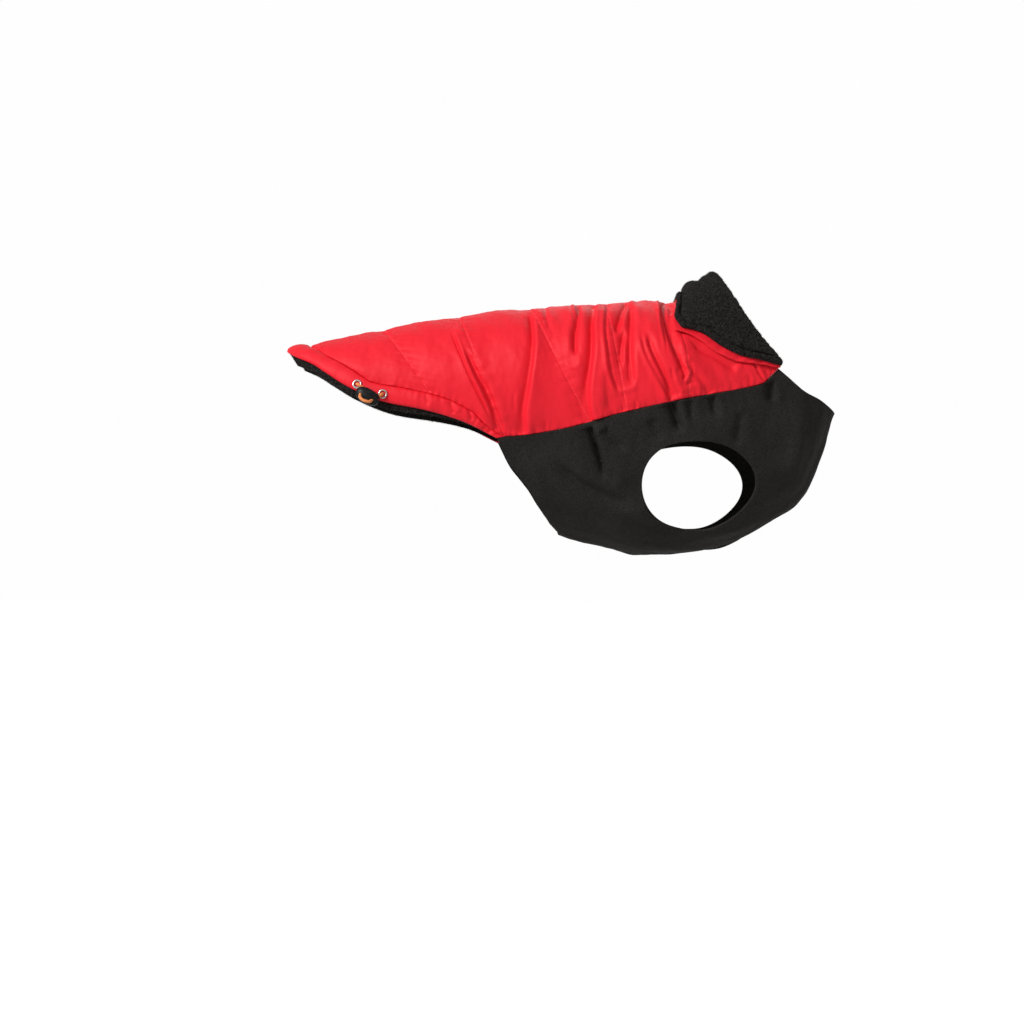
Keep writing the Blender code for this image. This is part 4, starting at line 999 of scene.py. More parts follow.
def rolled(distance: Array, radius: float) -> Array:
    """A quarter circle's height over its radius: sqrt(1 - (1 - d / r)^2), and 1 past the radius."""
    t = np.clip(distance / radius, 0, 1)
    return np.sqrt(np.maximum(1 - (1 - t) ** 2, 0))


def set_in(u: Array, phi: Array, borders: tuple[Border, ...], distance: Array | float) -> tuple[Array, Array]:
    """A (u, phi) grid with some borders moved toward its inside.

    A border moves its distance's share of the way to the third line inside it. The two lines between
    move two thirds and one third as far.

    Args:
        u: places along the form.
        phi: angles round it, of the same shape.
        borders: the axis and end of each border.
        distance: how far a border moves, in mm, for all of it or for each of its points.

    Returns:
        The moved (u, phi).
    """
    u, phi = u.copy(), phi.copy()
    for axis, end in borders:
        u_lines, phi_lines = (grid if axis is Axis.ROWS else grid.swapaxes(0, 1) for grid in (u, phi))
        if end:
            u_lines, phi_lines = u_lines[::-1], phi_lines[::-1]
        third, first = FORM.point(u_lines[3], phi_lines[3]), FORM.point(u_lines[0], phi_lines[0])
        reach = np.linalg.norm(third - first, axis=-1)
        share = distance / np.maximum(reach, distance)
        u_step, phi_step = (u_lines[3] - u_lines[0]) * share, (phi_lines[3] - phi_lines[0]) * share
        for line, part in enumerate((1.0, 2 / 3, 1 / 3)):
            u_lines[line] += u_step * part
            phi_lines[line] += phi_step * part
    return u, phi


def lay_on_form(u: Array, phi: Array, height: Array) -> Array:
    """Points at a height over the body form, out along its normal."""
    return FORM.point(u, phi) + FORM.normal(u, phi) * height[..., None]


# ---------------------------------------------------------------- finishes


class NodeBench:
    """A short way to add and join the nodes of one material or group."""

    def __init__(self, tree: bpy.types.NodeTree) -> None:
        """Works on the given tree."""
        self.tree = tree

    def add(self, kind: str, **inputs: object) -> bpy.types.Node:
        """Adds a node and sets its named inputs, each by a value or by a socket that is joined to it.

        Args:
            kind: the node's type.
            inputs: its inputs by name, with _ for a space.

        Returns:
            The node.
        """
        node = self.tree.nodes.new(kind)
        for name, value in inputs.items():
            self.feed(node.inputs[name.replace("_", " ")], value)
        return node

    def feed(self, socket: bpy.types.NodeSocket, value: object) -> None:
        """Joins a socket to another, or sets its value.

        Args:
            socket: the input.
            value: a value, or an output to join to it.
        """
        if isinstance(value, bpy.types.NodeSocket):
            self.tree.links.new(value, socket)
        else:
            socket.default_value = value

    def math(self, operation: str, *values: object) -> bpy.types.NodeSocket:
        """The result of one arithmetic step on one to three values or sockets.

        Args:
            operation: the step's name.
            values: what it works on.

        Returns:
            The result's socket.
        """
        node = self.tree.nodes.new("ShaderNodeMath")
        node.operation = operation
        for socket, value in zip(node.inputs, values):
            self.feed(socket, value)
        return node.outputs[0]

    def blend(self, share: object, first: object, second: object) -> bpy.types.NodeSocket:
        """A colour mixed from two by a share.

        Args:
            share: 0 for the first colour, 1 for the second.
            first: a colour or socket.
            second: another.

        Returns:
            The colour's socket.
        """
        node = self.tree.nodes.new("ShaderNodeMix")
        node.data_type = "RGBA"
        for socket, value in zip((node.inputs[0], node.inputs[6], node.inputs[7]), (share, first, second)):
            self.feed(socket, value)
        return node.outputs[2]

    def span(self, value: object, low: float, high: float) -> bpy.types.NodeSocket:
        """A value from 0 to 1 spread between two numbers.

        Args:
            value: the value or socket.
            low: what 0 becomes.
            high: what 1 becomes.

        Returns:
            The result's socket.
        """
        node = self.add("ShaderNodeMapRange", Value=value, To_Min=low, To_Max=high)
        return node.outputs[0]

    def noise(self, place: bpy.types.NodeSocket, scale: object, detail: object) -> bpy.types.NodeSocket:
        """Noise from 0 to 1 on a set of coordinates."""
        return self.add("ShaderNodeTexNoise", Vector=place, Scale=scale, Detail=detail).outputs["Fac"]

    def bump(self, height: bpy.types.NodeSocket, depth: float, **below: object) -> bpy.types.NodeSocket:
        """The normal of a height from 0 to 1 that stands for a depth in mm, over another normal if given."""
        node = self.add("ShaderNodeBump", Strength=1.0, Distance=depth * MM, Height=height, **below)
        return node.outputs["Normal"]

    def group(self, tree: bpy.types.NodeTree, **inputs: object) -> bpy.types.NodeSocket:
        """Adds a node group and sets its named inputs.

        Args:
            tree: the group.
            inputs: its inputs by name.

        Returns:
            The group's one output.
        """
        node = self.tree.nodes.new("ShaderNodeGroup")
        node.node_tree = tree
        for name, value in inputs.items():
            self.feed(node.inputs[name], value)
        return node.outputs[0]


def effect_group(name: str, inputs: dict[str, float | None], output: str) -> tuple[bpy.types.NodeTree, bool]:
    """A shader node group with named sockets, made once.

    Args:
        name: the group's name.
        inputs: each input's name with its number, or with None for a vector.
        output: the name of its float output.

    Returns:
        The group, and whether it is new and still empty.
    """
    group = bpy.data.node_groups.get(name)
    if group is not None:
        return group, False
    group = bpy.data.node_groups.new(name, "ShaderNodeTree")
    for label, number in inputs.items():
        kind = "NodeSocketVector" if number is None else "NodeSocketFloat"
        socket = group.interface.new_socket(label, in_out="INPUT", socket_type=kind)
        if number is not None:
            socket.default_value = number
    group.interface.new_socket(output, in_out="OUTPUT", socket_type="NodeSocketFloat")
    return group, True


def weave_group() -> bpy.types.NodeTree:
    """Crossing yarns: height 0.5 + 0.5 sin(2 pi u / pitch) sin(2 pi v / pitch), broken up by fine noise.

    Returns:
        The group, with the cloth coordinates in centimetres as its Vector.
    """
    group, new = effect_group("woven_yarns", {"Vector": None, "Pitch": 0.3, "Float": 1.0}, "Height")
    if not new:
        return group
    bench = NodeBench(group)
    given = bench.add("NodeGroupInput").outputs
    parts = bench.add("ShaderNodeSeparateXYZ", Vector=given["Vector"]).outputs
    turn = bench.math("DIVIDE", 20 * math.pi, given["Pitch"])
    warp = bench.math("SINE", bench.math("MULTIPLY", parts["X"], turn))
    stretched = bench.math("MULTIPLY", parts["Y"], given["Float"])
    weft = bench.math("SINE", bench.math("MULTIPLY", stretched, turn))
    both = bench.math("MULTIPLY_ADD", bench.math("MULTIPLY", warp, weft), 0.5, 0.5)
    noise = bench.noise(given["Vector"], 60.0, 2.0)
    bench.add("NodeGroupOutput", Height=bench.math("MULTIPLY_ADD", noise, 0.5, both))
    return group


def cloud_group() -> bpy.types.NodeTree:
    """Soft uneven patches from noise, sharpened about their middle.

    Returns:
        The group.
    """
    inputs = {"Vector": None, "Scale": 5.0, "Detail": 3.0, "Contrast": 2.0}
    group, new = effect_group("soft_patches", inputs, "Patches")
    if not new:
        return group
    bench = NodeBench(group)
    given = bench.add("NodeGroupInput").outputs
    centred = bench.math("SUBTRACT", bench.noise(given["Vector"], given["Scale"], given["Detail"]), 0.5)
    sharper = bench.math("MULTIPLY_ADD", centred, given["Contrast"], 0.5)
    clamped = bench.add("ShaderNodeClamp", Value=sharper).outputs[0]
    bench.add("NodeGroupOutput", Patches=clamped)
    return group


Colour = tuple[float, float, float]
WHITE = (1.0, 1.0, 1.0, 1.0)


def rgba(colour: Colour) -> tuple[float, float, float, float]:
    """A colour with full opacity."""
    return (*colour, 1.0)


@dataclass(frozen=True, kw_only=True)
class Finish:
    """What every finish has: its material's name, main colour, roughness from low to high and refraction."""

    name: str
    base: Colour
    roughness: tuple[float, float]
    ior: float

    def build(self) -> bpy.types.Material:
        """The finish's material, made once.

        Returns:
            The material.
        """
        found = bpy.data.materials.get(self.name)
        if found is not None:
            return found
        material = bpy.data.materials.new(self.name)
        material.use_nodes = True
        shader = material.node_tree.nodes["Principled BSDF"]
        shader.inputs["IOR"].default_value = self.ior
        self.dress(NodeBench(material.node_tree), shader)
        return material

    def dress(self, bench: NodeBench, shader: bpy.types.Node) -> None:
        """Joins the finish's own nodes to its shader."""
        raise NotImplementedError


@dataclass(frozen=True, kw_only=True)
class ClothFinish(Finish):
    """A woven or knitted cloth: yarns over crumple and fuzz, patches of shade and flecks. Sizes are mm."""

    shade: Colour
    # light is the flecks' colour: on the fleece and its nap it is a painted highlight of lit fibre tips, on
    # the red thread a painted glint.
    light: Colour
    pitch: float
    yarn_depth: float
    float_ratio: float = 1.0
    crumple_size: float
    crumple_depth: float
    patch_scale: float = 14.0
    patch_contrast: float = 1.6
    fuzz_depth: float = 0.0
    fuzz_size: float = 1.2
    fleck_share: float = 0.12
    fleck_contrast: float = 2.4
    sheen: float = 0.0
    sheen_roughness: float = 0.4
    specular: float = 0.5
    ior: float = 1.25

    def dress(self, bench: NodeBench, shader: bpy.types.Node) -> None:
        """Joins the cloth's colour, roughness, sheen and relief to its shader.

        Args:
            bench: the material's nodes.
            shader: its shader.
        """
        place = bench.add("ShaderNodeTexCoord").outputs["Object"]
        clouds = cloud_group()
        patches = bench.group(clouds, Vector=place, Scale=self.patch_scale, Contrast=self.patch_contrast)
        fine = bench.group(clouds, Vector=place, Scale=900.0 / self.fuzz_size, Contrast=self.fleck_contrast)
        tone = bench.blend(patches, rgba(self.shade), rgba(self.base))
        # Lighter flecks at random; on the fleece and its nap they are painted highlights of lit fibre tips.
        flecks = bench.math("MULTIPLY", fine, self.fleck_share)
        bench.feed(shader.inputs["Base Color"], bench.blend(flecks, tone, rgba(self.light)))
        bench.feed(shader.inputs["Roughness"], bench.span(patches, *self.roughness))
        bench.feed(shader.inputs["Normal"], self._normal(bench, place))
        shader.inputs["Sheen Weight"].default_value = self.sheen
        shader.inputs["Sheen Roughness"].default_value = self.sheen_roughness
        shader.inputs["Specular IOR Level"].default_value = self.specular

    def _normal(self, bench: NodeBench, place: bpy.types.NodeSocket) -> bpy.types.NodeSocket:
        """The yarns' bump over the crumple's, and the fuzz between them where there is any.

        Args:
            bench: the material's nodes.
            place: the Object coordinates.

        Returns:
            The normal's socket.
        """
        below = bench.bump(bench.noise(place, 1000.0 / self.crumple_size, 3.0), self.crumple_depth)
        if self.fuzz_depth:
            fuzz = bench.noise(place, 1000.0 / self.fuzz_size, 4.0)
            below = bench.bump(fuzz, self.fuzz_depth, Normal=below)
        uv = bench.add("ShaderNodeUVMap").outputs["UV"]
        yarns = bench.group(weave_group(), Vector=uv, Pitch=self.pitch, Float=self.float_ratio)
        return bench.bump(yarns, self.yarn_depth, Normal=below)


@dataclass(frozen=True, kw_only=True)
class HardFinish(Finish):
    """A moulded or plated small part: body colour, scuffs and a fine grain. Sizes are mm."""

    worn: Colour
    metallic: float = 0.0
    scuff_scale: float = 420.0
    scuff_contrast: float = 3.0
    grain_size: float
    grain_depth: float
    ior: float = 1.5

    def dress(self, bench: NodeBench, shader: bpy.types.Node) -> None:
        """Joins the part's colour, roughness and grain to its shader.

        Args:
            bench: the material's nodes.
            shader: its shader.
        """
        place = bench.add("ShaderNodeTexCoord").outputs["Object"]
        clouds = cloud_group()
        scuffs = bench.group(clouds, Vector=place, Scale=self.scuff_scale, Contrast=self.scuff_contrast)
        bench.feed(shader.inputs["Base Color"], bench.blend(scuffs, rgba(self.base), rgba(self.worn)))
        bench.feed(shader.inputs["Roughness"], bench.span(scuffs, *self.roughness))
        grain = bench.noise(place, 1000.0 / self.grain_size, 2.0)
        bench.feed(shader.inputs["Normal"], bench.bump(grain, self.grain_depth))
        shader.inputs["Metallic"].default_value = self.metallic


RED_SATIN = ClothFinish(
    name="glossy_red_satin", base=(0.78, 0.014, 0.028), shade=(0.73, 0.009, 0.021),
    light=(0.83, 0.036, 0.052), roughness=(0.48, 0.56), pitch=0.35, yarn_depth=0.03, float_ratio=0.5,
    crumple_size=8.0, crumple_depth=0.20,
)
BLACK_SOFTSHELL = ClothFinish(
    name="matt_black_softshell", base=(0.0115, 0.0102, 0.0088), shade=(0.0078, 0.0068, 0.0058),
    light=(0.070, 0.067, 0.061), roughness=(0.58, 0.72), pitch=0.55, yarn_depth=0.10, crumple_size=16.0,
    crumple_depth=0.16, fuzz_depth=0.10, fuzz_size=0.9, fleck_share=0.35, ior=1.14,
)
# The fleece's light flecks are painted highlights: the glint of lit fibre tips on the pile.
BLACK_FLEECE = ClothFinish(
    name="brushed_black_fleece", base=(0.0085, 0.0078, 0.0072), shade=(0.0040, 0.0036, 0.0033),
    light=(0.066, 0.062, 0.058), roughness=(0.92, 0.98), pitch=1.4, yarn_depth=0.05, crumple_size=6.0,
    crumple_depth=0.5, fuzz_depth=1.0, fuzz_size=1.5, fleck_share=0.36, fleck_contrast=3.2, ior=1.08,
)
# The nap's colours are lifted well above the fleece's own black: painted highlights of lit fibres.
FLEECE_NAP = ClothFinish(
    name="fleece_nap", base=(0.022, 0.020, 0.019), shade=(0.010, 0.0094, 0.009), light=(0.22, 0.21, 0.20),
    roughness=(0.85, 0.95), pitch=1.0, yarn_depth=0.0, crumple_size=3.0, crumple_depth=0.0, fuzz_size=1.5,
    fleck_share=0.36, fleck_contrast=3.2, ior=1.1,
)
# The red thread is the satin's red lightened to pink: a painted highlight for the stitches' glint.
RED_THREAD = ClothFinish(
    name="red_thread", base=(1.0, 0.10, 0.115), shade=(0.90, 0.06, 0.075), light=(1.0, 0.22, 0.23),
    roughness=(0.45, 0.55), pitch=0.3, yarn_depth=0.02, crumple_size=2.0, crumple_depth=0.05,
)
BLACK_THREAD = ClothFinish(
    name="black_thread", base=(0.014, 0.013, 0.012), shade=(0.009, 0.0085, 0.008), light=(0.05, 0.048, 0.046),
    roughness=(0.5, 0.6), pitch=0.3, yarn_depth=0.02, crumple_size=2.0, crumple_depth=0.05, ior=1.1,
)
ORANGE_ELASTIC = ClothFinish(
    name="braided_orange_elastic", base=(0.86, 0.27, 0.085), shade=(0.70, 0.19, 0.05),
    light=(0.95, 0.45, 0.2), roughness=(0.55, 0.7), pitch=0.4, yarn_depth=0.08, crumple_size=3.0,
    crumple_depth=0.05, sheen=0.2, specular=0.4,
)
NICKEL_SILVER = HardFinish(
    name="polished_nickel_silver", base=(0.66, 0.64, 0.62), worn=(0.50, 0.48, 0.46), roughness=(0.18, 0.34),
    metallic=1.0, grain_size=0.35, grain_depth=0.01,
)
BLACK_PLASTIC = HardFinish(
    name="moulded_black_plastic", base=(0.0055, 0.0055, 0.0052), worn=(0.011, 0.011, 0.0105),
    roughness=(0.32, 0.46), grain_size=0.25, grain_depth=0.02, ior=1.25,
)
PALE_FLOOR = HardFinish(
    name="pale_floor", base=(0.68, 0.68, 0.68), worn=(0.67, 0.67, 0.67), roughness=(0.8, 0.9), grain_size=5.0,
    grain_depth=0.0,
)


# ---------------------------------------------------------------- cloth pieces


def finish_piece(piece: bpy.types.Object, material: bpy.types.Material) -> bpy.types.Object:
    """Gives a piece its material and lets it ride on the coat.

    Args:
        piece: the piece.
        material: its material.

    Returns:
        The piece.
    """
    piece.data.materials.clear()
    piece.data.materials.append(material)
    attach(piece, "root")
    LOG.info("%s: %d faces", piece.name, len(piece.data.polygons))
    return piece


def declare_sheet(
    piece: bpy.types.Object,
    area: float,
    extras: list[bpy.types.Object] | None = None,
) -> None:
    """Logs how a cloth piece's surface compares with its cut.

    Args:
        piece: the closed wall.
        area: the cut's flat area, in square metres.
        extras: the separate pieces on it; not used.
    """
    half = sum(face.area for face in piece.data.polygons) / 2
    LOG.info("%s: half area %.5f, cut %.5f, share %.2f", piece.name, half, area, half / area)


NEAR_EDGE = np.array([0.0, 0.25, 0.6, 1.1, 1.8, 2.7])
SEAM_GAP = 0.08
BELLY_GAP = 0.02


def edge_spaced(cells: int, length: float) -> Array:
    """Shares from 0 to 1 with even cells in the middle and fine ones within 3 mm of each end.

    Args:
        cells: even cells in the middle.
        length: the way's length in mm.

    Returns:
        The shares.
    """
    near = NEAR_EDGE / length
    middle = np.linspace(near[-1], 1 - near[-1], cells + 1)
    return np.concatenate([near[:-1], middle, 1 - near[-2::-1]])


@dataclass
class Wall:
    """A cloth wall's thickness and the roundness of its turned edges, in mm.

    least is how near its outer face comes to the form, and rim half of what is left between the two faces
    at an edge. A free wall has nothing under it, and there the whole cloth sinks on with a deeper crease.
    """

    thickness: float = 2.4
    edge_radius: float = 1.5
    least: float = 0.7
    rim: float = 0.12
    free: bool = False

    def heights(self, outer: Array, distance: Array) -> tuple[Array, Array]:
        """Outer and inner heights over the form, both rolled to the middle of the wall at its edges.

        Args:
            outer: the outer face's height before it is rolled.
            distance: how far each point lies from the wall's edge.

        Returns:
            The outer and the inner height.
        """
        middle = self.thickness / 2
        roll = rolled(distance, self.edge_radius)
        sunk = np.minimum(outer - self.least, 0) * roll if self.free else 0.0
        top = middle + self.rim + (np.maximum(outer, self.least) - middle - self.rim) * roll
        return top + sunk, (middle - self.rim) * (1 - roll) + sunk


@dataclass(frozen=True)
class Ripples:
    """Soft unevenness of the cloth: its height and wavelength in mm, its seed, and a scale across."""

    height: float
    wavelength: float
    seed: int
    scale: float = 1.0

    def wave(self, a: Array, b: Array) -> Array:
        """The noise at height one."""
        return ripple(a, b * self.scale, self.wavelength, self.seed)

    def lift(self, a: Array, b: Array) -> Array:
        """The noise at its own height."""
        return self.height * self.wave(a, b)


@dataclass
class BackPanel:
    """The quilted red back: wadding raised between stitched lines, creased as worn.

    end_channels are the lengths of the first and the last channel in mm. stitch_fill is the share of the
    wadding left at a stitched line, and quilt_step how far the cloth stands up past one line and down
    before the next.
    """

    wall: Wall = field(default_factory=Wall)
    cells_per_channel: int = 76
    cells_across: int = 150
    arc_length: float = 235.0
    line_crowding: float = 0.3
    end_channels: tuple[float, float] = (75.0, 34.0)
    stitch_fill: float = 0.35
    groove_width: float = 0.9
    groove_depth: float = 0.3
    quilt_step: float = 0.22
    step_fade: float = 5.0
    puckers: Ripples = Ripples(0.45, 7.0, 5, 0.3)
    pucker_fade: float = 7.0
    seam_puckers: Ripples = Ripples(0.6, 7.0, 9, 0.25)
    seam_fade: float = 5.0
    loose: tuple[Ripples, Ripples] = (Ripples(0.28, 26.0, 3, 0.6), Ripples(0.08, 8.0, 4))
    relief: Relief = field(default_factory=lambda: Relief(RED_CREASES))
    flat: tuple[float, float] = (0.372, 0.440)
    flat_area: float = 0.115

    def lines(self) -> Array:
        """Line indices of the rows, closer together at each stitched line.

        Returns:
            The line indices.
        """
        t = np.linspace(0, 1, self.cells_per_channel + 1)
        t = t - self.line_crowding * np.sin(2 * math.pi * t) / (2 * math.pi)
        body = np.concatenate([k + t[:-1] for k in range(CUT.channels)] + [[CUT.channels]])
        start = NEAR_EDGE[1:-1] / self.end_channels[0]
        end = CUT.channels - NEAR_EDGE[1:-1] / self.end_channels[1]
        return np.unique(np.round(np.concatenate([body, start, end]), 6))

    def shares(self) -> Array:
        """Shares of the way from the right edge, -1, to the left edge, 1."""
        return 2 * edge_spaced(self.cells_across, self.arc_length) - 1

    def outer_height(self, lines: Array, shares: Array, u: Array, phi: Array) -> Array:
        """Height of the red shell over the form, before its edges are rolled.

        A channel's crown is |sin(pi t)|^0.7 between two stitched lines. Grooves and puckers fade out by
        exp(-gap / fade) from the stitches, and so do the seam's puckers from the edge.

        Args:
            lines: the rows' line indices.
            shares: shares of the way from the spine, -1 to 1.
            u: the grid's places along the form.
            phi: its angles.

        Returns:
            The heights in mm.
        """
        base = FORM.point(u, phi)
        channel = np.minimum(lines.astype(int), CUT.channels - 1)
        crown = (np.sin(math.pi * (lines - channel)) ** 2) ** 0.35
        most = np.array(CUT.quilt_puff)[channel]
        puff = most * crown + self.stitch_fill * most * (1 - crown)
        full = self.wall.thickness + puff[:, None] * (1 - np.abs(shares) ** 7)[None, :]
        gap, along = self._to_lines(lines, base)
        groove = -self.groove_depth * np.exp(-((gap / self.groove_width) ** 2))
        past = np.where(lines % 1 < 0.5, 1.0, -1.0)[:, None]
        groove += self.quilt_step * past * np.exp(-gap / self.step_fade) * np.tanh(gap / 0.8)
        puckers = self.puckers.height * np.exp(-gap / self.pucker_fade) * self.puckers.wave(along, gap)
        edge = edge_distance(base, (FIRST_COLUMN, LAST_COLUMN, FIRST_ROW))
        near = self.seam_puckers.height * np.exp(-edge / self.seam_fade)
        seam = near * self.seam_puckers.wave(np.abs(base[..., 0]) + 0.2 * edge, edge)
        uv = FORM.cloth_uv(u, phi)
        broad, small = (ripples.lift(uv[..., 0], uv[..., 1]) for ripples in self.loose)
        return full + groove + puckers + seam + (broad + small) + self.relief.lift(base)

    @staticmethod
    def _to_lines(lines: Array, base: Array) -> tuple[Array, Array]:
        """Distance of each point to the nearest stitched line, and its length along that line, in mm.

        The length starts 61 mm later on each next line, so that no two lines pucker alike.

        Args:
            lines: the rows' line indices.
            base: the grid's points.

        Returns:
            The distances and the lengths.
        """
        run = run_along(base)
        gaps = np.abs(run[:, None, :] - run[BackPanel._stitched(lines)][None, :, :])
        return gaps.min(axis=1), run_along(base, 1) + 61.0 * np.argmin(gaps, axis=1)

    @staticmethod
    def _stitched(lines: Array) -> list[int]:
        """The rows nearest to the stitched lines."""
        return [int(np.argmin(np.abs(lines - k))) for k in range(1, CUT.channels)]

    def build(self) -> bpy.types.Object:
        """The red back shell, standing for the solid.

        Returns:
            The shell's object.
        """
        lines, shares = self.lines(), self.shares()
        u, phi = CUT.back_rows(lines, shares)
        u, phi = set_in(u, phi, ALL_ROUND, SEAM_GAP / 2)
        distance = edge_distance(FORM.point(u, phi), ALL_ROUND)
        top, bottom = self.wall.heights(self.outer_height(lines, shares, u, phi), distance)
        outer, inner = lay_on_form(u, phi, top), lay_on_form(u, phi, bottom)
        piece = wall_piece("back_shell", outer, inner, FORM.cloth_uv(u, phi), thin=Thinning(4, 3))
        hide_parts("back_panel")
        finish_piece(piece, RED_SATIN.build())
        stitches = self._stitches(lines, outer)
        declare_sheet(piece, self.flat_area, [stitches])
        return piece

    def _stitches(self, lines: Array, outer: Array) -> bpy.types.Object:
        """The stitches along the quilt lines, on the finished surface.

        Args:
            lines: the rows' line indices.
            outer: the shell's outer face.

        Returns:
            The stitches' object.
        """
        normals = grid_normals(outer)
        normals *= np.sign((normals * (outer - [0.0, 0.0, -120.0])).sum(-1, keepdims=True).mean())
        inside = slice(4, -4)
        made = [(outer[row, inside], normals[row, inside]) for row in self._stitched(lines)]
        # The stitches' pink is a painted highlight on red thread.
        return StitchRow().piece("quilt_stitches", made, RED_THREAD, "red_satin")


@dataclass
class HemCasing:
    """The padded band round the rear hem that the drawcord runs in."""

    wall: Wall = field(default_factory=lambda: Wall(edge_radius=2.0))
    puff: float = 3.8
    roundness: float = 0.55
    full_width: float = 22.0
    rows_on_spine: int = 50
    rows_along: int = 230
    cells_across: int = 18
    gathers: Ripples = Ripples(0.5, 8.5, 12, 3.0)
    soft: Ripples = Ripples(0.35, 24.0, 13, 14.0)
    tail_x: float = -262.0
    lock_x: float = -220.0
    lock_reach: float = 24.0
    relief: Relief = field(default_factory=lambda: Relief(CASING_CREASES))
    flat: tuple[float, float] = (0.024, 0.522)
    flat_area: float = 0.0088

    def grid(self) -> tuple[Array, Array, Array]:
        """(u, phi) grids from the left corner over the spine to the right one, and the shares across.

        Returns:
            u, phi and the shares.
        """
        seam_u, seam_phi = CUT.casing_seam(self.rows_on_spine, self.rows_along)
        across = edge_spaced(self.cells_across, 20.0)
        u, phi = CUT.casing_place(seam_u, seam_phi, across)
        return np.concatenate([u[:0:-1], u]), np.concatenate([-phi[:0:-1], phi]), across

    def height(self, across: Array, width: Array) -> Array:
        """Thickness plus the puff times the width's share and sin(pi across)^roundness.

        Args:
            across: shares of the way from seam to hem.
            width: the band's width there, in mm.

        Returns:
            The heights in mm.
        """
        share = np.minimum(width / self.full_width, 1)
        bulge = np.maximum(np.sin(math.pi * across), 0) ** self.roundness
        return self.wall.thickness + self.puff * share * bulge

    def outer_height(self, across: Array, base: Array) -> Array:
        """The band's height with its gathers, which are small ripples across it near its seam and hem.

        The gathers are weaker round the tail, and the band is calm under the cord lock.

        Args:
            across: shares of the way from seam to hem.
            base: the grid's points on the form.

        Returns:
            The heights in mm.
        """
        width = np.linalg.norm(base[:, -1] - base[:, 0], axis=-1)[:, None]
        run = run_along(base[:, 0])[:, None]
        gathers = self.gathers.lift(run + 0.3 * width * across, across)
        gathers = gathers * (0.3 + 0.7 * smooth_step((base[..., 0] - self.tail_x) / 30))
        edges = np.exp(-across * width / 4.5) + 0.5 * np.exp(-(1 - across) * width / 5.0)
        soft = self.soft.lift(run, across)
        from_lock = (base[..., 0] - self.lock_x) / self.lock_reach
        calm = 1 - np.exp(-(from_lock**2)) * (base[..., 1] < 0)
        return self.height(across[None, :], width) + (gathers * edges + soft) * calm + self.relief.lift(base)

    def surface(self, eyelet: tuple[float, float], extra: float) -> tuple[Array, Array]:
        """Point and normal over the casing at (seam x, share across), on the cord lock's side.

        Args:
            eyelet: the seam's x and the share across.
            extra: how far over the face, in mm.

        Returns:
            The point and the unit normal.
        """
        edge_x, edge_z = np.array(CUT.panel_edge).T
        u, phi = FORM.locate(eyelet[0], smooth_curve(eyelet[0], edge_x, edge_z))
        both_u, both_phi = CUT.casing_place(u, phi, np.array([0.0, eyelet[1], 1.0]))
        ends = FORM.point(both_u, both_phi)[0]
        height = self.height(eyelet[1], np.linalg.norm(ends[2] - ends[0])) + extra
        place = both_u[0, 1], both_phi[0, 1] * Side.RIGHT.value
        base = FORM.point(*place)
        lift = height + float(FOLDS.lift(base[None, :])[0])
        return base + FORM.normal(*place) * lift, FORM.normal(*place)

    def build(self) -> bpy.types.Object:
        """The casing, standing for the solid.

        Returns:
            The casing's object.
        """
        u, phi, across = self.grid()
        borders = (FIRST_ROW, LAST_ROW, FIRST_COLUMN)
        u, phi = set_in(u, phi, borders, SEAM_GAP / 2)
        base = FORM.point(u, phi)
        distance = edge_distance(base, (*borders, LAST_COLUMN))
        top, bottom = self.wall.heights(self.outer_height(across, base), distance)
        outer, inner = lay_on_form(u, phi, top), lay_on_form(u, phi, bottom)
        piece = wall_piece("hem_casing_shell", outer, inner, FORM.cloth_uv(u, phi))
        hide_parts("hem_casing")
        finish_piece(piece, RED_SATIN.build())
        declare_sheet(piece, self.flat_area)
        return piece


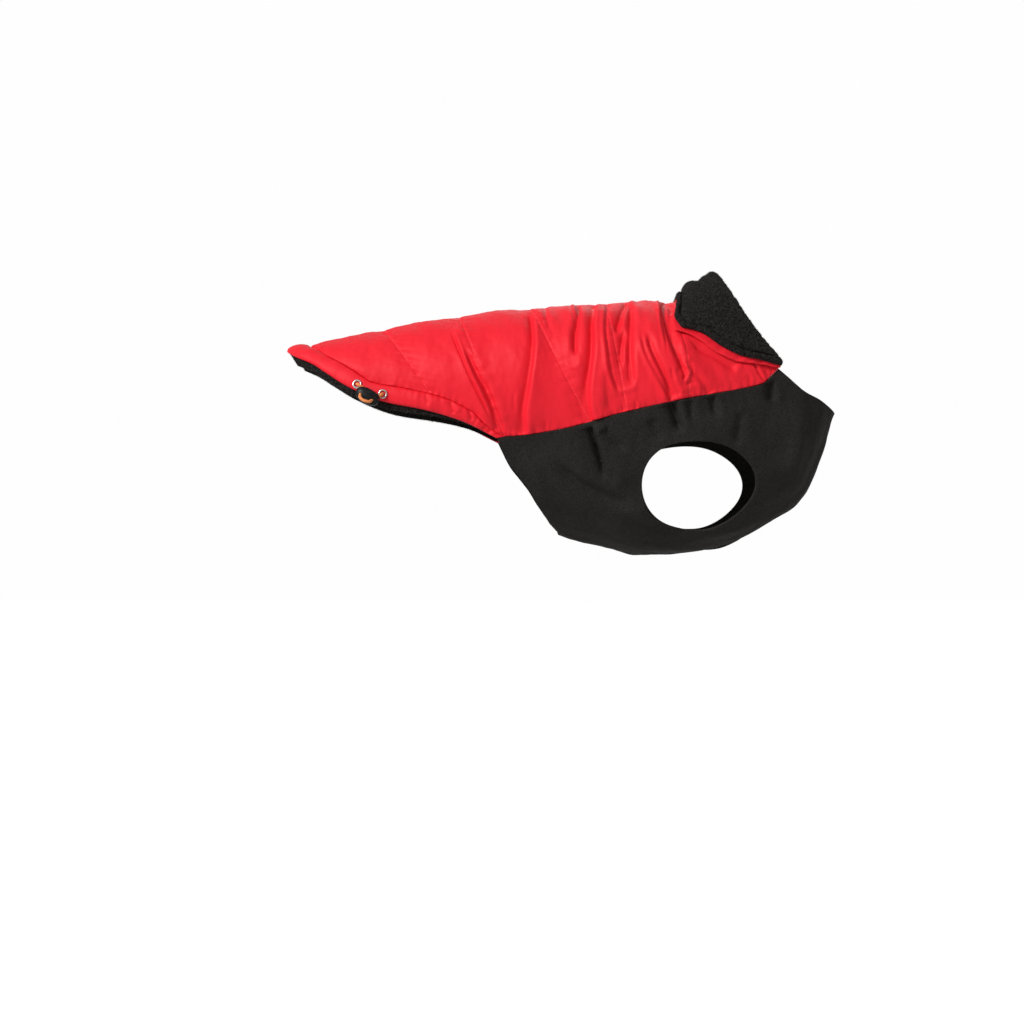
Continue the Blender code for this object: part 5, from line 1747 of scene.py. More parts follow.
@dataclass
class BackLining:
    """The fleece inside the back, hanging a little below the hem."""

    gap: float = 0.7
    thickness: float = 1.3
    overhang: float = 6.0
    tail_x: float = -309.0
    hem_start_x: float = -296.0
    hem_end_x: float = -104.0
    hem_share: float = 0.42
    inset: float = 0.3
    edge_radius: float = 0.8
    least_roll: float = 0.15
    uneven: Ripples = Ripples(0.22, 7.0, 21)
    rows: int = 110
    cells_across: int = 90
    flat: tuple[float, float] = (0.372, 0.460)
    flat_area: float = 0.122

    def edge(self, share: Array) -> tuple[Array, Array]:
        """(u, phi) on the edge: the hem moved out by the overhang at the tail, then the panel's edge.

        Args:
            share: shares of the way from the tail to the collar.

        Returns:
            u and phi of each place.
        """
        on_hem = np.clip(share / self.hem_share, 0, 1)
        x = self.hem_start_x + (self.hem_end_x - self.hem_start_x) * on_hem
        slope = (CUT.hem_z(x + 1) - CUT.hem_z(x - 1)) / 2
        reach = self.overhang * (1 - smooth_step(2 * on_hem - 1)) / np.hypot(1, slope)
        hem_u, hem_phi = FORM.locate(x + reach * slope, CUT.hem_z(x) - reach)
        on_seam = np.clip((share - self.hem_share) / (1 - self.hem_share), 0, 1)
        line = CUT.corner_line + (CUT.channels - CUT.corner_line) * on_seam
        seam_u, seam_phi = CUT.panel_edge_place(line)
        on = share <= self.hem_share
        return np.where(on, hem_u, seam_u), np.where(on, hem_phi, seam_phi)

    def grid(self) -> tuple[Array, Array]:
        """(u, phi) grids of the lining.

        Returns:
            u and phi.
        """
        share = np.unique(np.concatenate([np.linspace(0, 1, self.rows + 1), [0.002, 0.005]]))
        shares = 2 * edge_spaced(self.cells_across, 240.0) - 1
        u_edge, phi_edge = self.edge(share)
        u_centre = FORM.spine_u(self.tail_x + (CUT.quilt_spine_x[-1] - self.tail_x) * share)
        return CUT.across(u_centre, u_edge, phi_edge, shares)

    def build(self) -> bpy.types.Object:
        """The lining, standing for the solid.

        Returns:
            The lining's object.
        """
        u, phi = self.grid()
        u, phi = set_in(u, phi, (LAST_ROW, FIRST_COLUMN, LAST_COLUMN), self.inset)
        roll = rolled(edge_distance(FORM.point(u, phi), ALL_ROUND), self.edge_radius)
        roll = np.maximum(roll, self.least_roll)
        half = self.thickness / 2
        middle = -self.gap - half
        bottom = middle - (half + self.uneven.lift(u * 55, phi * 90)) * roll
        outer, inner = lay_on_form(u, phi, middle + half * roll), lay_on_form(u, phi, bottom)
        piece = wall_piece("lining_fleece", outer, inner, FORM.cloth_uv(u, phi))
        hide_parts("back_lining")
        finish_piece(piece, BLACK_FLEECE.build())
        declare_sheet(piece, self.flat_area, [self._fringe(outer)])
        return piece

    def _fringe(self, outer: Array) -> bpy.types.Object:
        """The brushed fibres along the edge that hangs below the hem.

        Args:
            outer: the lining's outer face.

        Returns:
            The fibres' object.
        """
        distance = edge_distance(outer, (FIRST_ROW, FIRST_COLUMN, LAST_COLUMN))
        below_hem = np.linspace(0, 1, len(outer))[:, None] < self.hem_share
        weight = (np.exp(-((distance / 4.0) ** 2)) * below_hem)[:-1, :-1]
        nap = Nap(count=9000, length=(0.8, 2.0), seed=8)
        return nap.piece("lining_nap", outer, weight, np.array([-0.25, 0.0, -0.35]), "black_fleece")


@dataclass
class UnderPanel:
    """One black under panel: a wall from the armhole's rim out to its seams and edges.

    armhole holds the rim's middle (u, phi), its two half sizes and how egg-shaped it is. anchors are the
    angles on the rim, in degrees, that the panel's corners are joined to. cells are the steps along the
    neck, the belly's centre line and the rear edge.
    """

    side: Side
    wall: Wall = field(default_factory=lambda: Wall(edge_radius=1.4, free=True))
    rings: int = 60
    seam_points: int = 181
    flat: tuple[float, float] = (0.235, 0.352)
    flat_area: float = 0.0435
    armhole: tuple[float, float, float, float, float] = (6.22, 2.14, 1.05, 0.42, 0.12)
    anchors: tuple[float, ...] = (205.0, 320.0, 385.0, 515.0, 565.0)
    relief: Relief = field(default_factory=lambda: Relief(BLACK_CREASES))
    cells: tuple[int, int, int] = (40, 100, 56)

    def boundary(self) -> tuple[Array, Array, tuple[int, ...]]:
        """(u, phi) round the panel from the hem corner forward, and the point number at each corner.

        It runs along the side seam, the neck, the belly's centre line and the rear edge.

        Returns:
            u and phi of the points, and the corners' numbers with the count at the end.
        """
        at_neck, at_belly, at_rear = self.cells
        corner_u, corner_phi = FORM.locate(*CUT.hem[-1])
        seam_u, seam_phi = CUT.panel_edge_place(np.linspace(CUT.corner_line, CUT.channels, self.seam_points))
        neck_u, neck_phi = FORM.locate(*np.array(CUT.neck_edge).T)
        neck_u, neck_phi = self._to_belly(neck_u, neck_phi, FORM.neck_ring, at_neck)
        rear_u, rear_phi = FORM.locate(*np.array(CUT.rear_edge).T)
        rear_u, rear_phi = self._to_belly(rear_u, rear_phi, rear_u[-1], at_rear)
        centre_u = np.linspace(FORM.neck_ring, rear_u[-1], at_belly + 1)
        u = np.concatenate([corner_u, seam_u, neck_u[1:], centre_u[1:], rear_u[-2:0:-1]])
        centre_phi = np.full(at_belly, math.pi)
        phi = np.concatenate([corner_phi, seam_phi, neck_phi[1:], centre_phi, rear_phi[-2:0:-1]])
        turns = self.seam_points + np.array([0, at_neck, at_neck + at_belly])
        return u, phi, (0, *turns.tolist(), len(u))

    @staticmethod
    def _to_belly(u: Array, phi: Array, last_u: float, cells: int) -> tuple[Array, Array]:
        """Places at even steps of phi along a curve through (u, phi) knots and on to the belly's centre line.

        Args:
            u: the knots' places along the form.
            phi: their angles.
            last_u: u where the curve meets the centre line.
            cells: how many steps it gets.

        Returns:
            u and phi of the places.
        """
        knots = np.append(phi, math.pi)
        even = np.linspace(knots[0], knots[-1], cells + 1)
        return smooth_curve(even, knots, np.append(u, last_u)), even

    def rim(self, angle: Array) -> tuple[Array, Array]:
        """(u, phi) on the armhole's rim: an egg, fuller at its rear end."""
        u, phi, half_u, half_phi, egg = self.armhole
        return u + half_u * np.cos(angle), phi + half_phi * np.sin(angle) * (1 - egg * np.cos(angle))

    def grid(self) -> tuple[Array, Array]:
        """(u, phi) grids, rows round the armhole and columns from its rim to the panel's edge.

        Returns:
            u and phi.
        """
        u_edge, phi_edge, corners = self.boundary()
        points = FORM.point(u_edge, phi_edge)
        length = run_along(np.concatenate([points, points[:1]]))
        angle = np.interp(length[:-1], length[list(corners)], np.radians(self.anchors))
        u_rim, phi_rim = self.rim(angle)
        share = edge_spaced(self.rings, 75.0)
        share = share + 0.12 * share * (share - 1)
        u = u_rim[:, None] + (u_edge - u_rim)[:, None] * share
        return u, phi_rim[:, None] + (phi_edge - phi_rim)[:, None] * share

    def build(self) -> bpy.types.Object:
        """The under panel, standing for the solid.

        Returns:
            The panel's object.
        """
        side = self.side.name.lower()
        u, phi = self.grid()
        on_belly = np.isclose(phi[:, -1], math.pi)
        u, phi = set_in(u, phi, (LAST_COLUMN,), np.where(on_belly, BELLY_GAP, SEAM_GAP) / 2)
        phi = phi * self.side.value
        base = FORM.point(u, phi)
        distance = edge_distance(base, (FIRST_COLUMN, LAST_COLUMN))
        uv = FORM.cloth_uv(u, phi)
        seed = 40 + self.side.value
        loose = (Ripples(0.8, 42.0, seed), Ripples(0.12, 12.0, seed + 5))
        broad, small = (ripples.lift(uv[..., 0], uv[..., 1]) for ripples in loose)
        height = self.wall.thickness + (broad + small) + self.relief.lift(base)
        top, bottom = self.wall.heights(height, distance)
        outer, inner = lay_on_form(u, phi, top), lay_on_form(u, phi, bottom)
        piece = wall_piece(f"under_shell_{side}", outer, inner, uv, wrap=True, thin=Thinning(2, 2))
        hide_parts(f"under_panel_{side}")
        finish_piece(piece, BLACK_SOFTSHELL.build())
        declare_sheet(piece, self.flat_area)
        return piece


@dataclass
class Collar:
    """The turned-down collar: a red shell and a fleece lining turned outside over the same roll.

    strip and stand are a width and a height in mm, each at the spine and down at the side. cells are
    the steps up the stand, round the roll, down the fall and along the red strip. band and groove are the
    height or depth and the width of the band along the fleece's edge and of the groove at its topstitch.
    """

    shell_thickness: float = 1.1
    fleece_thickness: float = 2.8
    roll_radius: float = 2.6
    fall_height: float = 5.2
    strip: tuple[float, float] = (1.0, 8.6)
    strip_taper: float = 0.82
    shell_flat: tuple[float, float] = (0.101, 0.407)
    shell_area: float = 0.0216
    fleece_flat: tuple[float, float] = (0.097, 0.390)
    fleece_area: float = 0.0205
    bulge: float = 2.0
    nape_roll: float = 3.2
    nape_groove: float = 2.0
    nape_spread: float = 0.55
    stand: tuple[float, float] = (35.0, 5.0)
    gap: float = 0.3
    stations: int = 120
    cells: tuple[int, int, int, int] = (14, 12, 44, 6)
    topstitch_in: float = 7.5
    band: tuple[float, float] = (1.5, 3.0)
    groove: tuple[float, float] = (2.6, 1.9)
    far_in: float = 1e3
    shell_edge_radius: float = 0.7
    fleece_edge_radius: float = 1.3
    wave: Ripples = Ripples(0.35, 13.0, 31, 0.5)
    soft: tuple[Ripples, Ripples] = (Ripples(0.25, 12.0, 33), Ripples(0.16, 3.2, 34))

    def free_edge(self, phi: Array) -> Array:
        """u of the fleece's free edge at phi, level where it crosses the spine."""
        u_edge, phi_edge = FORM.locate(*np.array(CUT.collar_edge).T)
        return smooth_curve(phi**2, phi_edge**2, u_edge)

    def sections(self) -> tuple[Array, Array, Array]:
        """Points between shell and fleece, the fleece's direction at each, and the distance in from its edge.

        A section climbs the stand along the form, goes round a half circle of the roll, and falls in a
        straight line with a bulge and the nape's rolls to the free edge and on to the shell's edge.

        Returns:
            Points and directions, shape (stations, cells, 3), and distances, shape (stations, cells).
        """
        tip_u, tip_phi = (float(a[0]) for a in CUT.panel_edge_place(np.array([float(CUT.channels)])))
        phi = np.linspace(-tip_phi, tip_phi, 2 * self.stations + 1)[:, None]
        share = (1 - np.cos(np.abs(phi))) / (1 - math.cos(tip_phi))
        stand, normals, up = self._stand(phi, share, tip_u)
        out = normals[:, -1:]
        turn = np.linspace(0, math.pi, self.cells[1] + 1)[None, :, None]
        roll_way = up * np.sin(turn) - out * np.cos(turn)
        roll = stand[:, -1:] + (out + roll_way) * self.roll_radius
        edge, edge_normals, strip = self._edge(phi, share)
        fall = (np.linspace(0, 1, self.cells[2] + 1) ** 0.92)[1:][None, :, None]
        fall_way = unit(out + (edge_normals[:, :1] - out) * fall)
        line = edge[:, :1] - roll[:, -1:]
        falling = roll[:, -1:] + line * fall + fall_way * self._bulge(phi, share, fall)
        points = np.concatenate([stand[:, :-1], roll, falling, edge[:, 1:]], axis=1)
        ways = np.concatenate([-normals[:, :-1], roll_way, fall_way, edge_normals[:, 1:]], axis=1)
        inward = np.full(points.shape[:2], self.far_in)
        start = self.cells[0] + self.cells[1] + 1
        inward[:, start : start + self.cells[2]] = (1 - fall[..., 0]) * np.linalg.norm(line, axis=-1)
        inward[:, start + self.cells[2] :] = -strip[:, 1:]
        return points, ways, inward

    def _stand(self, phi: Array, share: Array, tip_u: float) -> tuple[Array, Array, Array]:
        """The stand along the form, from the neck seam to the foot of the roll.

        Args:
            phi: the stations' angles, as a column.
            share: how far down the side each lies, 0 on the spine and 1 at the collar's tip.
            tip_u: u of the tip.

        Returns:
            The stand's points, the normals there and the direction up out of it.
        """
        seam_u = FORM.neck_ring + (tip_u - FORM.neck_ring) * share
        flat = np.full_like(phi, FORM.neck_ring)
        ring_gap = np.linalg.norm(FORM.point(flat + 1, np.abs(phi)) - FORM.point(flat, np.abs(phi)), axis=-1)
        length = self.stand[0] + (self.stand[1] - self.stand[0]) * share
        first, top = seam_u + self.gap / ring_gap, seam_u + length / ring_gap
        u = first + (top - first) * np.linspace(0, 1, self.cells[0] + 1)[None, :]
        points, normals = FORM.point(u, phi), FORM.normal(u, phi)
        up = points[:, -1:] - FORM.point(top - (top - first) / 3, phi)
        out = normals[:, -1:]
        return points, normals, unit(up - out * (up * out).sum(-1, keepdims=True))

    def _edge(self, phi: Array, share: Array) -> tuple[Array, Array, Array]:
        """The red strip from the fleece's free edge to the shell's edge.

        Args:
            phi: the stations' angles, as a column.
            share: how far down the side each lies.

        Returns:
            The strip's points, the normals there and the distance of each from the fleece's edge.
        """
        at_side = smooth_step((np.abs(phi) - 0.62) / 0.3)
        width = self.strip[0] + (self.strip[1] - self.strip[0]) * at_side
        part = np.linspace(0, 1, self.cells[3] + 1)[None, :]
        u = self.free_edge(np.abs(phi)) - width * (1 - self.strip_taper * share) / FORM.collar_ring_gap * part
        lift = self.fall_height + self.shell_thickness + FOLDS.lift(FORM.point(u, phi))
        return lay_on_form(u, phi, lift), FORM.normal(u, phi), part * width

    def _bulge(self, phi: Array, share: Array, fall: Array) -> Array:
        """How far the fall stands out from a straight line: a bulge, and at the nape a roll under a groove.

        Args:
            phi: the stations' angles, as a column.
            share: how far down the side each lies.
            fall: shares of the way down the fall.

        Returns:
            The heights in mm.
        """
        at_nape = np.exp(-((np.abs(phi) / self.nape_spread) ** 2))[..., None]
        lower = self.nape_roll * np.exp(-(((fall - 0.62) / 0.2) ** 2))
        groove = self.nape_groove * np.exp(-(((fall - 0.27) / 0.1) ** 2))
        return self.bulge * np.sin(math.pi * fall) * (1 - share[..., None]) + at_nape * (lower - groove)

    def build(self) -> tuple[bpy.types.Object, bpy.types.Object]:
        """The collar's red shell and its fleece, each standing for its solid.

        Returns:
            The shell and the fleece.
        """
        points, ways, inward = self.sections()
        uv = self._uv(points)
        shell = self._shell(points, ways, inward, uv)
        keep = points.shape[1] - self.cells[3]
        return shell, self._fleece(points[:, :keep], ways[:, :keep], inward[:, :keep], uv[:, :keep])

    def _shell(self, points: Array, ways: Array, inward: Array, uv: Array) -> bpy.types.Object:
        """The red shell under the fleece.

        Args:
            points: the middle surface.
            ways: the fleece's direction there.
            inward: distances in from the fleece's edge.
            uv: the cloth coordinates.

        Returns:
            The shell's object.
        """
        roll = np.maximum(rolled(edge_distance(points, ALL_ROUND), self.shell_edge_radius)[..., None], 0.1)
        half = self.shell_thickness / 2
        middle = self.gap / 2 + half
        wave = self.wave.lift(uv[..., 0:1], uv[..., 1:]) * np.exp(-np.maximum(inward, 0) / 8)[..., None]
        face, back = points - ways * (middle - half * roll), points - ways * (middle + half * roll)
        shell = wall_piece("collar_underside", back + ways * wave, face + ways * wave, uv)
        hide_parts("collar_shell")
        finish_piece(shell, RED_SATIN.build())
        declare_sheet(shell, self.shell_area)
        return shell

    def _fleece(self, points: Array, ways: Array, inward: Array, uv: Array) -> bpy.types.Object:
        """The fleece over the shell, with its topstitching and nap.

        Args:
            points: the middle surface up to the fleece's edge.
            ways: the fleece's direction there.
            inward: distances in from its edge.
            uv: the cloth coordinates.

        Returns:
            The fleece's object.
        """
        roll = np.maximum(rolled(edge_distance(points, ALL_ROUND), self.fleece_edge_radius)[..., None], 0.05)
        half = self.fleece_thickness / 2
        top = self.fleece_height(inward, uv)[..., None]
        face = points + ways * (self.gap / 2 + half + (top - half) * roll)
        back = points + ways * (self.gap / 2 + half * (1 - roll))
        fleece = wall_piece("collar_nap_side", face, back, uv)
        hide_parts("collar_fleece")
        finish_piece(fleece, BLACK_FLEECE.build())
        extras = [self._topstitch(face, ways, inward), self._nap(face, inward)]
        declare_sheet(fleece, self.fleece_area, extras)
        return fleece

    def _topstitch(self, face: Array, ways: Array, inward: Array) -> bpy.types.Object:
        """The stitches in the groove beside the free edge.

        Args:
            face: the fleece's face.
            ways: the directions there.
            inward: distances in from its edge.

        Returns:
            The stitches' object.
        """
        station = np.arange(len(inward))
        before = (inward > self.topstitch_in).sum(axis=1) - 1
        near, far = inward[station, before + 1], inward[station, before]
        share = ((far - self.topstitch_in) / (far - near))[:, None]
        line = face[station, before] * (1 - share) + face[station, before + 1] * share
        used = slice(5, -5)
        made = [(line[used], ways[station, before][used])]
        return StitchRow(pitch=3.0, radius=0.3).piece("collar_topstitch", made, BLACK_THREAD, "black_fleece")

    def _nap(self, face: Array, inward: Array) -> bpy.types.Object:
        """The brushed fibres of the fleece's face, from the roll down to the free edge.

        Args:
            face: the fleece's face.
            inward: distances in from its edge.

        Returns:
            The nap's object.
        """
        shown = (inward < self.far_in) | (np.arange(inward.shape[1])[None, :] >= self.cells[0] - 3)
        weight = shown.astype(float) * (1 - 0.95 * np.exp(-(((inward - self.topstitch_in) / 1.6) ** 2)))
        comb = np.array([-0.15, 0.0, -0.35])
        return Nap().piece("collar_nap", face, weight[:-1, :-1], comb, "black_fleece")

    def fleece_height(self, inward: Array, uv: Array) -> Array:
        """The fleece's height with the topstitched band along its free edge and soft unevenness.

        Args:
            inward: distances in from its edge.
            uv: the cloth coordinates.

        Returns:
            The heights in mm.
        """
        band = self.band[0] * np.exp(-(((inward - 0.45 * self.topstitch_in) / self.band[1]) ** 4))
        seam = -self.groove[0] * np.exp(-(((inward - self.topstitch_in) / self.groove[1]) ** 2))
        broad, small = (ripples.lift(uv[..., 0], uv[..., 1]) for ripples in self.soft)
        return self.fleece_thickness + band + seam + (broad + small)

    @staticmethod
    def _uv(points: Array) -> Array:
        """Lengths along the two ways of a grid, in mm.

        Args:
            points: the grid.

        Returns:
            The lengths, on a last axis of their own.
        """
        v = run_along(points, 1)
        around = np.linalg.norm(np.diff(points, axis=0), axis=-1).mean(axis=1)
        u = np.concatenate([[0], np.cumsum(around)])
        return np.stack([np.broadcast_to(u[:, None], v.shape), v], axis=-1)


# ---------------------------------------------------------------- sewing and nap


@dataclass
class StitchRow:
    """A row of stitches: short arched threads along a line on the cloth, in mm."""

    pitch: float = 2.8
    length: float = 1.9
    radius: float = 0.26
    arch: float = 0.28
    sides: int = 6

    def shapes(self, line: Array, normals: Array) -> tuple[Array, Array]:
        """Points and faces of all the stitches on one line.

        A stitch's middle line is t along the seam with t from -1 to 1, lifted by arch (1 - t^2), and its
        round section shrinks as sqrt(1 - t^2) to each end, where it enters the cloth.

        Args:
            line: points along the seam.
            normals: the cloth's normals there.

        Returns:
            Points in mm and faces of four point numbers.
        """
        run = run_along(line)
        count = max(2, int(run[-1] // self.pitch))
        middles = (np.arange(count) + 0.5) * run[-1] / count
        along = unit(read_at(line, run, middles + 0.6) - read_at(line, run, middles - 0.6))
        out = unit(read_at(normals, run, middles))
        out = unit(out - along * (out * along).sum(-1, keepdims=True))
        axes = (read_at(line, run, middles), along, out, np.cross(along, out))
        spot, way, up, beside = (v[:, None, None, :] for v in axes)
        t = np.linspace(-1, 1, self.sides)[None, :, None, None]
        turn = np.linspace(0, 2 * math.pi, self.sides + 1)[:-1][None, None, :, None]
        radius = self.radius * np.maximum(np.sqrt(1 - t * t), 0.12)
        lift = self.arch * (1 - t * t) - 0.12
        middle = spot + way * t * self.length / 2
        points = middle + up * (lift + radius * np.sin(turn)) + beside * radius * np.cos(turn)
        near, far = [[0, 5, 4, 3], [0, 3, 2, 1]], [[0, 1, 2, 3], [0, 3, 4, 5]]
        caps = np.concatenate([near, np.array(far) + self.sides * (self.sides - 1)])
        one = np.concatenate([tube_quads(self.sides, self.sides), caps])
        faces = (one[None] + self.sides**2 * np.arange(count)[:, None, None]).reshape(-1, 4)
        return points.reshape(-1, 3), faces

    def piece(
        self, name: str, lines: list[tuple[Array, Array]], finish: ClothFinish, slot: str
    ) -> bpy.types.Object:
        """One object of all the stitches on several lines.

        Args:
            name: the piece's name.
            lines: each line's points on the cloth and normals there.
            finish: the thread's finish.
            slot: a material slot's name; not used.

        Returns:
            The stitches' object.
        """
        made = [self.shapes(*line) for line in lines]
        starts = np.cumsum([0] + [len(points) for points, _ in made[:-1]])
        points = np.concatenate([points for points, _ in made])
        faces = np.concatenate([part + start for (_, part), start in zip(made, starts)])
        piece = new_piece(name, points, [faces], points[:, [0, 2]] * 0.1)
        return finish_piece(piece, finish.build())


@dataclass
class Nap:
    """Short fibres that stand out of brushed fleece, each a bent ribbon that tapers to a point, in mm.

    parts are the shares of a fibre's length before and after its joint, bend is how far it turns there,
    and depth how deep its root sits.
    """

    count: int = 34000
    length: tuple[float, float] = (0.8, 1.7)
    width: float = 0.16
    lean: float = 0.9
    bend: float = 0.55
    parts: tuple[float, float] = (0.55, 0.45)
    taper: float = 0.7
    depth: float = 0.1
    seed: int = 7

    def piece(self, name: str, grid: Array, weight: Array, comb: Array, slot: str) -> bpy.types.Object:
        """The fibres over a grid of points.

        A root lies at a random place of a cell picked by area times weight. The fibre rises along the
        normal, leans by a random amount and by the comb's direction, and has one joint at its middle.

        Args:
            name: the piece's name.
            grid: the cloth's face, shape (rows, columns, 3).
            weight: how thickly each cell is covered, shape (rows - 1, columns - 1).
            comb: the way that all fibres lean a little.
            slot: a material slot's name; not used.

        Returns:
            The nap's object.
        """
        draw = np.random.default_rng(self.seed)
        a, b, c, d = grid[:-1, :-1], grid[1:, :-1], grid[1:, 1:], grid[:-1, 1:]
        normal = np.cross(c - a, d - b)
        area = np.linalg.norm(normal, axis=-1) * weight
        cell = draw.choice(area.size, self.count, p=(area / area.sum()).ravel())
        s, t = draw.random((2, self.count, 1))
        a, b, c, d, normal = (x.reshape(-1, 3)[cell] for x in (a, b, c, d, unit(normal)))
        root = a * (1 - s) * (1 - t) + b * s * (1 - t) + c * s * t + d * (1 - s) * t
        way = unit(normal + draw.normal(0, self.lean * 0.5, (self.count, 3)) + comb)
        onward = unit(way + draw.normal(0, self.bend, (self.count, 3)))
        length = draw.uniform(*self.length, (self.count, 1))
        across = unit(np.cross(way, draw.normal(0, 1, (self.count, 3)))) * self.width / 2
        root = root - normal * self.depth
        middle = root + way * length * self.parts[0]
        tip = middle + onward * length * self.parts[1]
        waist = across * self.taper
        points = np.stack([root - across, root + across, middle + waist, middle - waist, tip], axis=1)
        one = np.array([[0, 1, 2], [0, 2, 3], [3, 2, 4]])
        faces = (one[None] + 5 * np.arange(self.count)[:, None, None]).reshape(-1, 3)
        piece = new_piece(name, points.reshape(-1, 3), [faces])
        # The nap's lightened colour is a painted highlight of lit fibres.
        return finish_piece(piece, FLEECE_NAP.build())


# ---------------------------------------------------------------- hardware


@dataclass
class Eyelet:
    """A plated eyelet pressed into the casing: a rolled flange and a short barrel."""

    name: str
    place: tuple[float, float]
    outer: float = 9.2
    hole: float = 5.5
    barrel: float = 2.2
    lip_flatness: float = 0.8
    segments: int = 64

    def build(self, casing: HemCasing) -> bpy.types.Object:
        """The eyelet, its profile turned about the casing's normal.

        The profile rises from the flange's rim over a half round to the hole and goes down the barrel.

        Args:
            casing: the casing that it is pressed into.

        Returns:
            The eyelet's object.
        """
        ring = (self.outer - self.hole) / 4
        centre, way = casing.surface(self.place, ring * self.lip_flatness + 0.3)
        profile = self._profile(ring)
        beside = unit(np.cross(way, [0.0, 0.3, 1.0]))
        other = np.cross(way, beside)
        angle = np.linspace(0, 2 * math.pi, self.segments + 1)[:-1][:, None, None]
        reach, rise = profile[None, :, 0:1], profile[None, :, 1:2]
        points = centre + reach * (beside * np.cos(angle) + other * np.sin(angle)) + rise * way
        number = np.arange(points[..., 0].size).reshape(points.shape[:2])
        number = np.append(number, number[:, :1], axis=1)
        faces = number.ravel()[grid_quads(*number.shape, wrap=True)]
        points = points.reshape(-1, 3)
        if signed_volume(points, faces) < 0:
            faces = faces[:, ::-1]
        piece = new_piece(f"{self.name}_ring", points, [faces])
        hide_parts(self.name)
        return finish_piece(piece, NICKEL_SILVER.build())

    def _profile(self, ring: float) -> Array:
        """The closed profile, as distances from the axis and heights over the flange's seat.

        Args:
            ring: half the width of the flange's half round.

        Returns:
            Its points, shape (n, 2).
        """
        turn = np.linspace(0, math.pi, 13)
        middle, bore = self.outer / 2 - ring, self.hole / 2
        lip = np.stack([middle + ring * np.cos(turn), self.lip_flatness * ring * np.sin(turn)], axis=-1)
        under = np.array([[middle + ring * 0.7, -ring * 0.75], [middle + ring * 0.98, -ring * 0.45]])
        barrel = np.array(
            [[bore, -0.5], [bore, -self.barrel], [bore + 0.3, -self.barrel - 0.1], [bore + 0.35, -1.2],
             [middle, -ring * 0.85]]
        )
        return np.concatenate([under, lip, barrel])


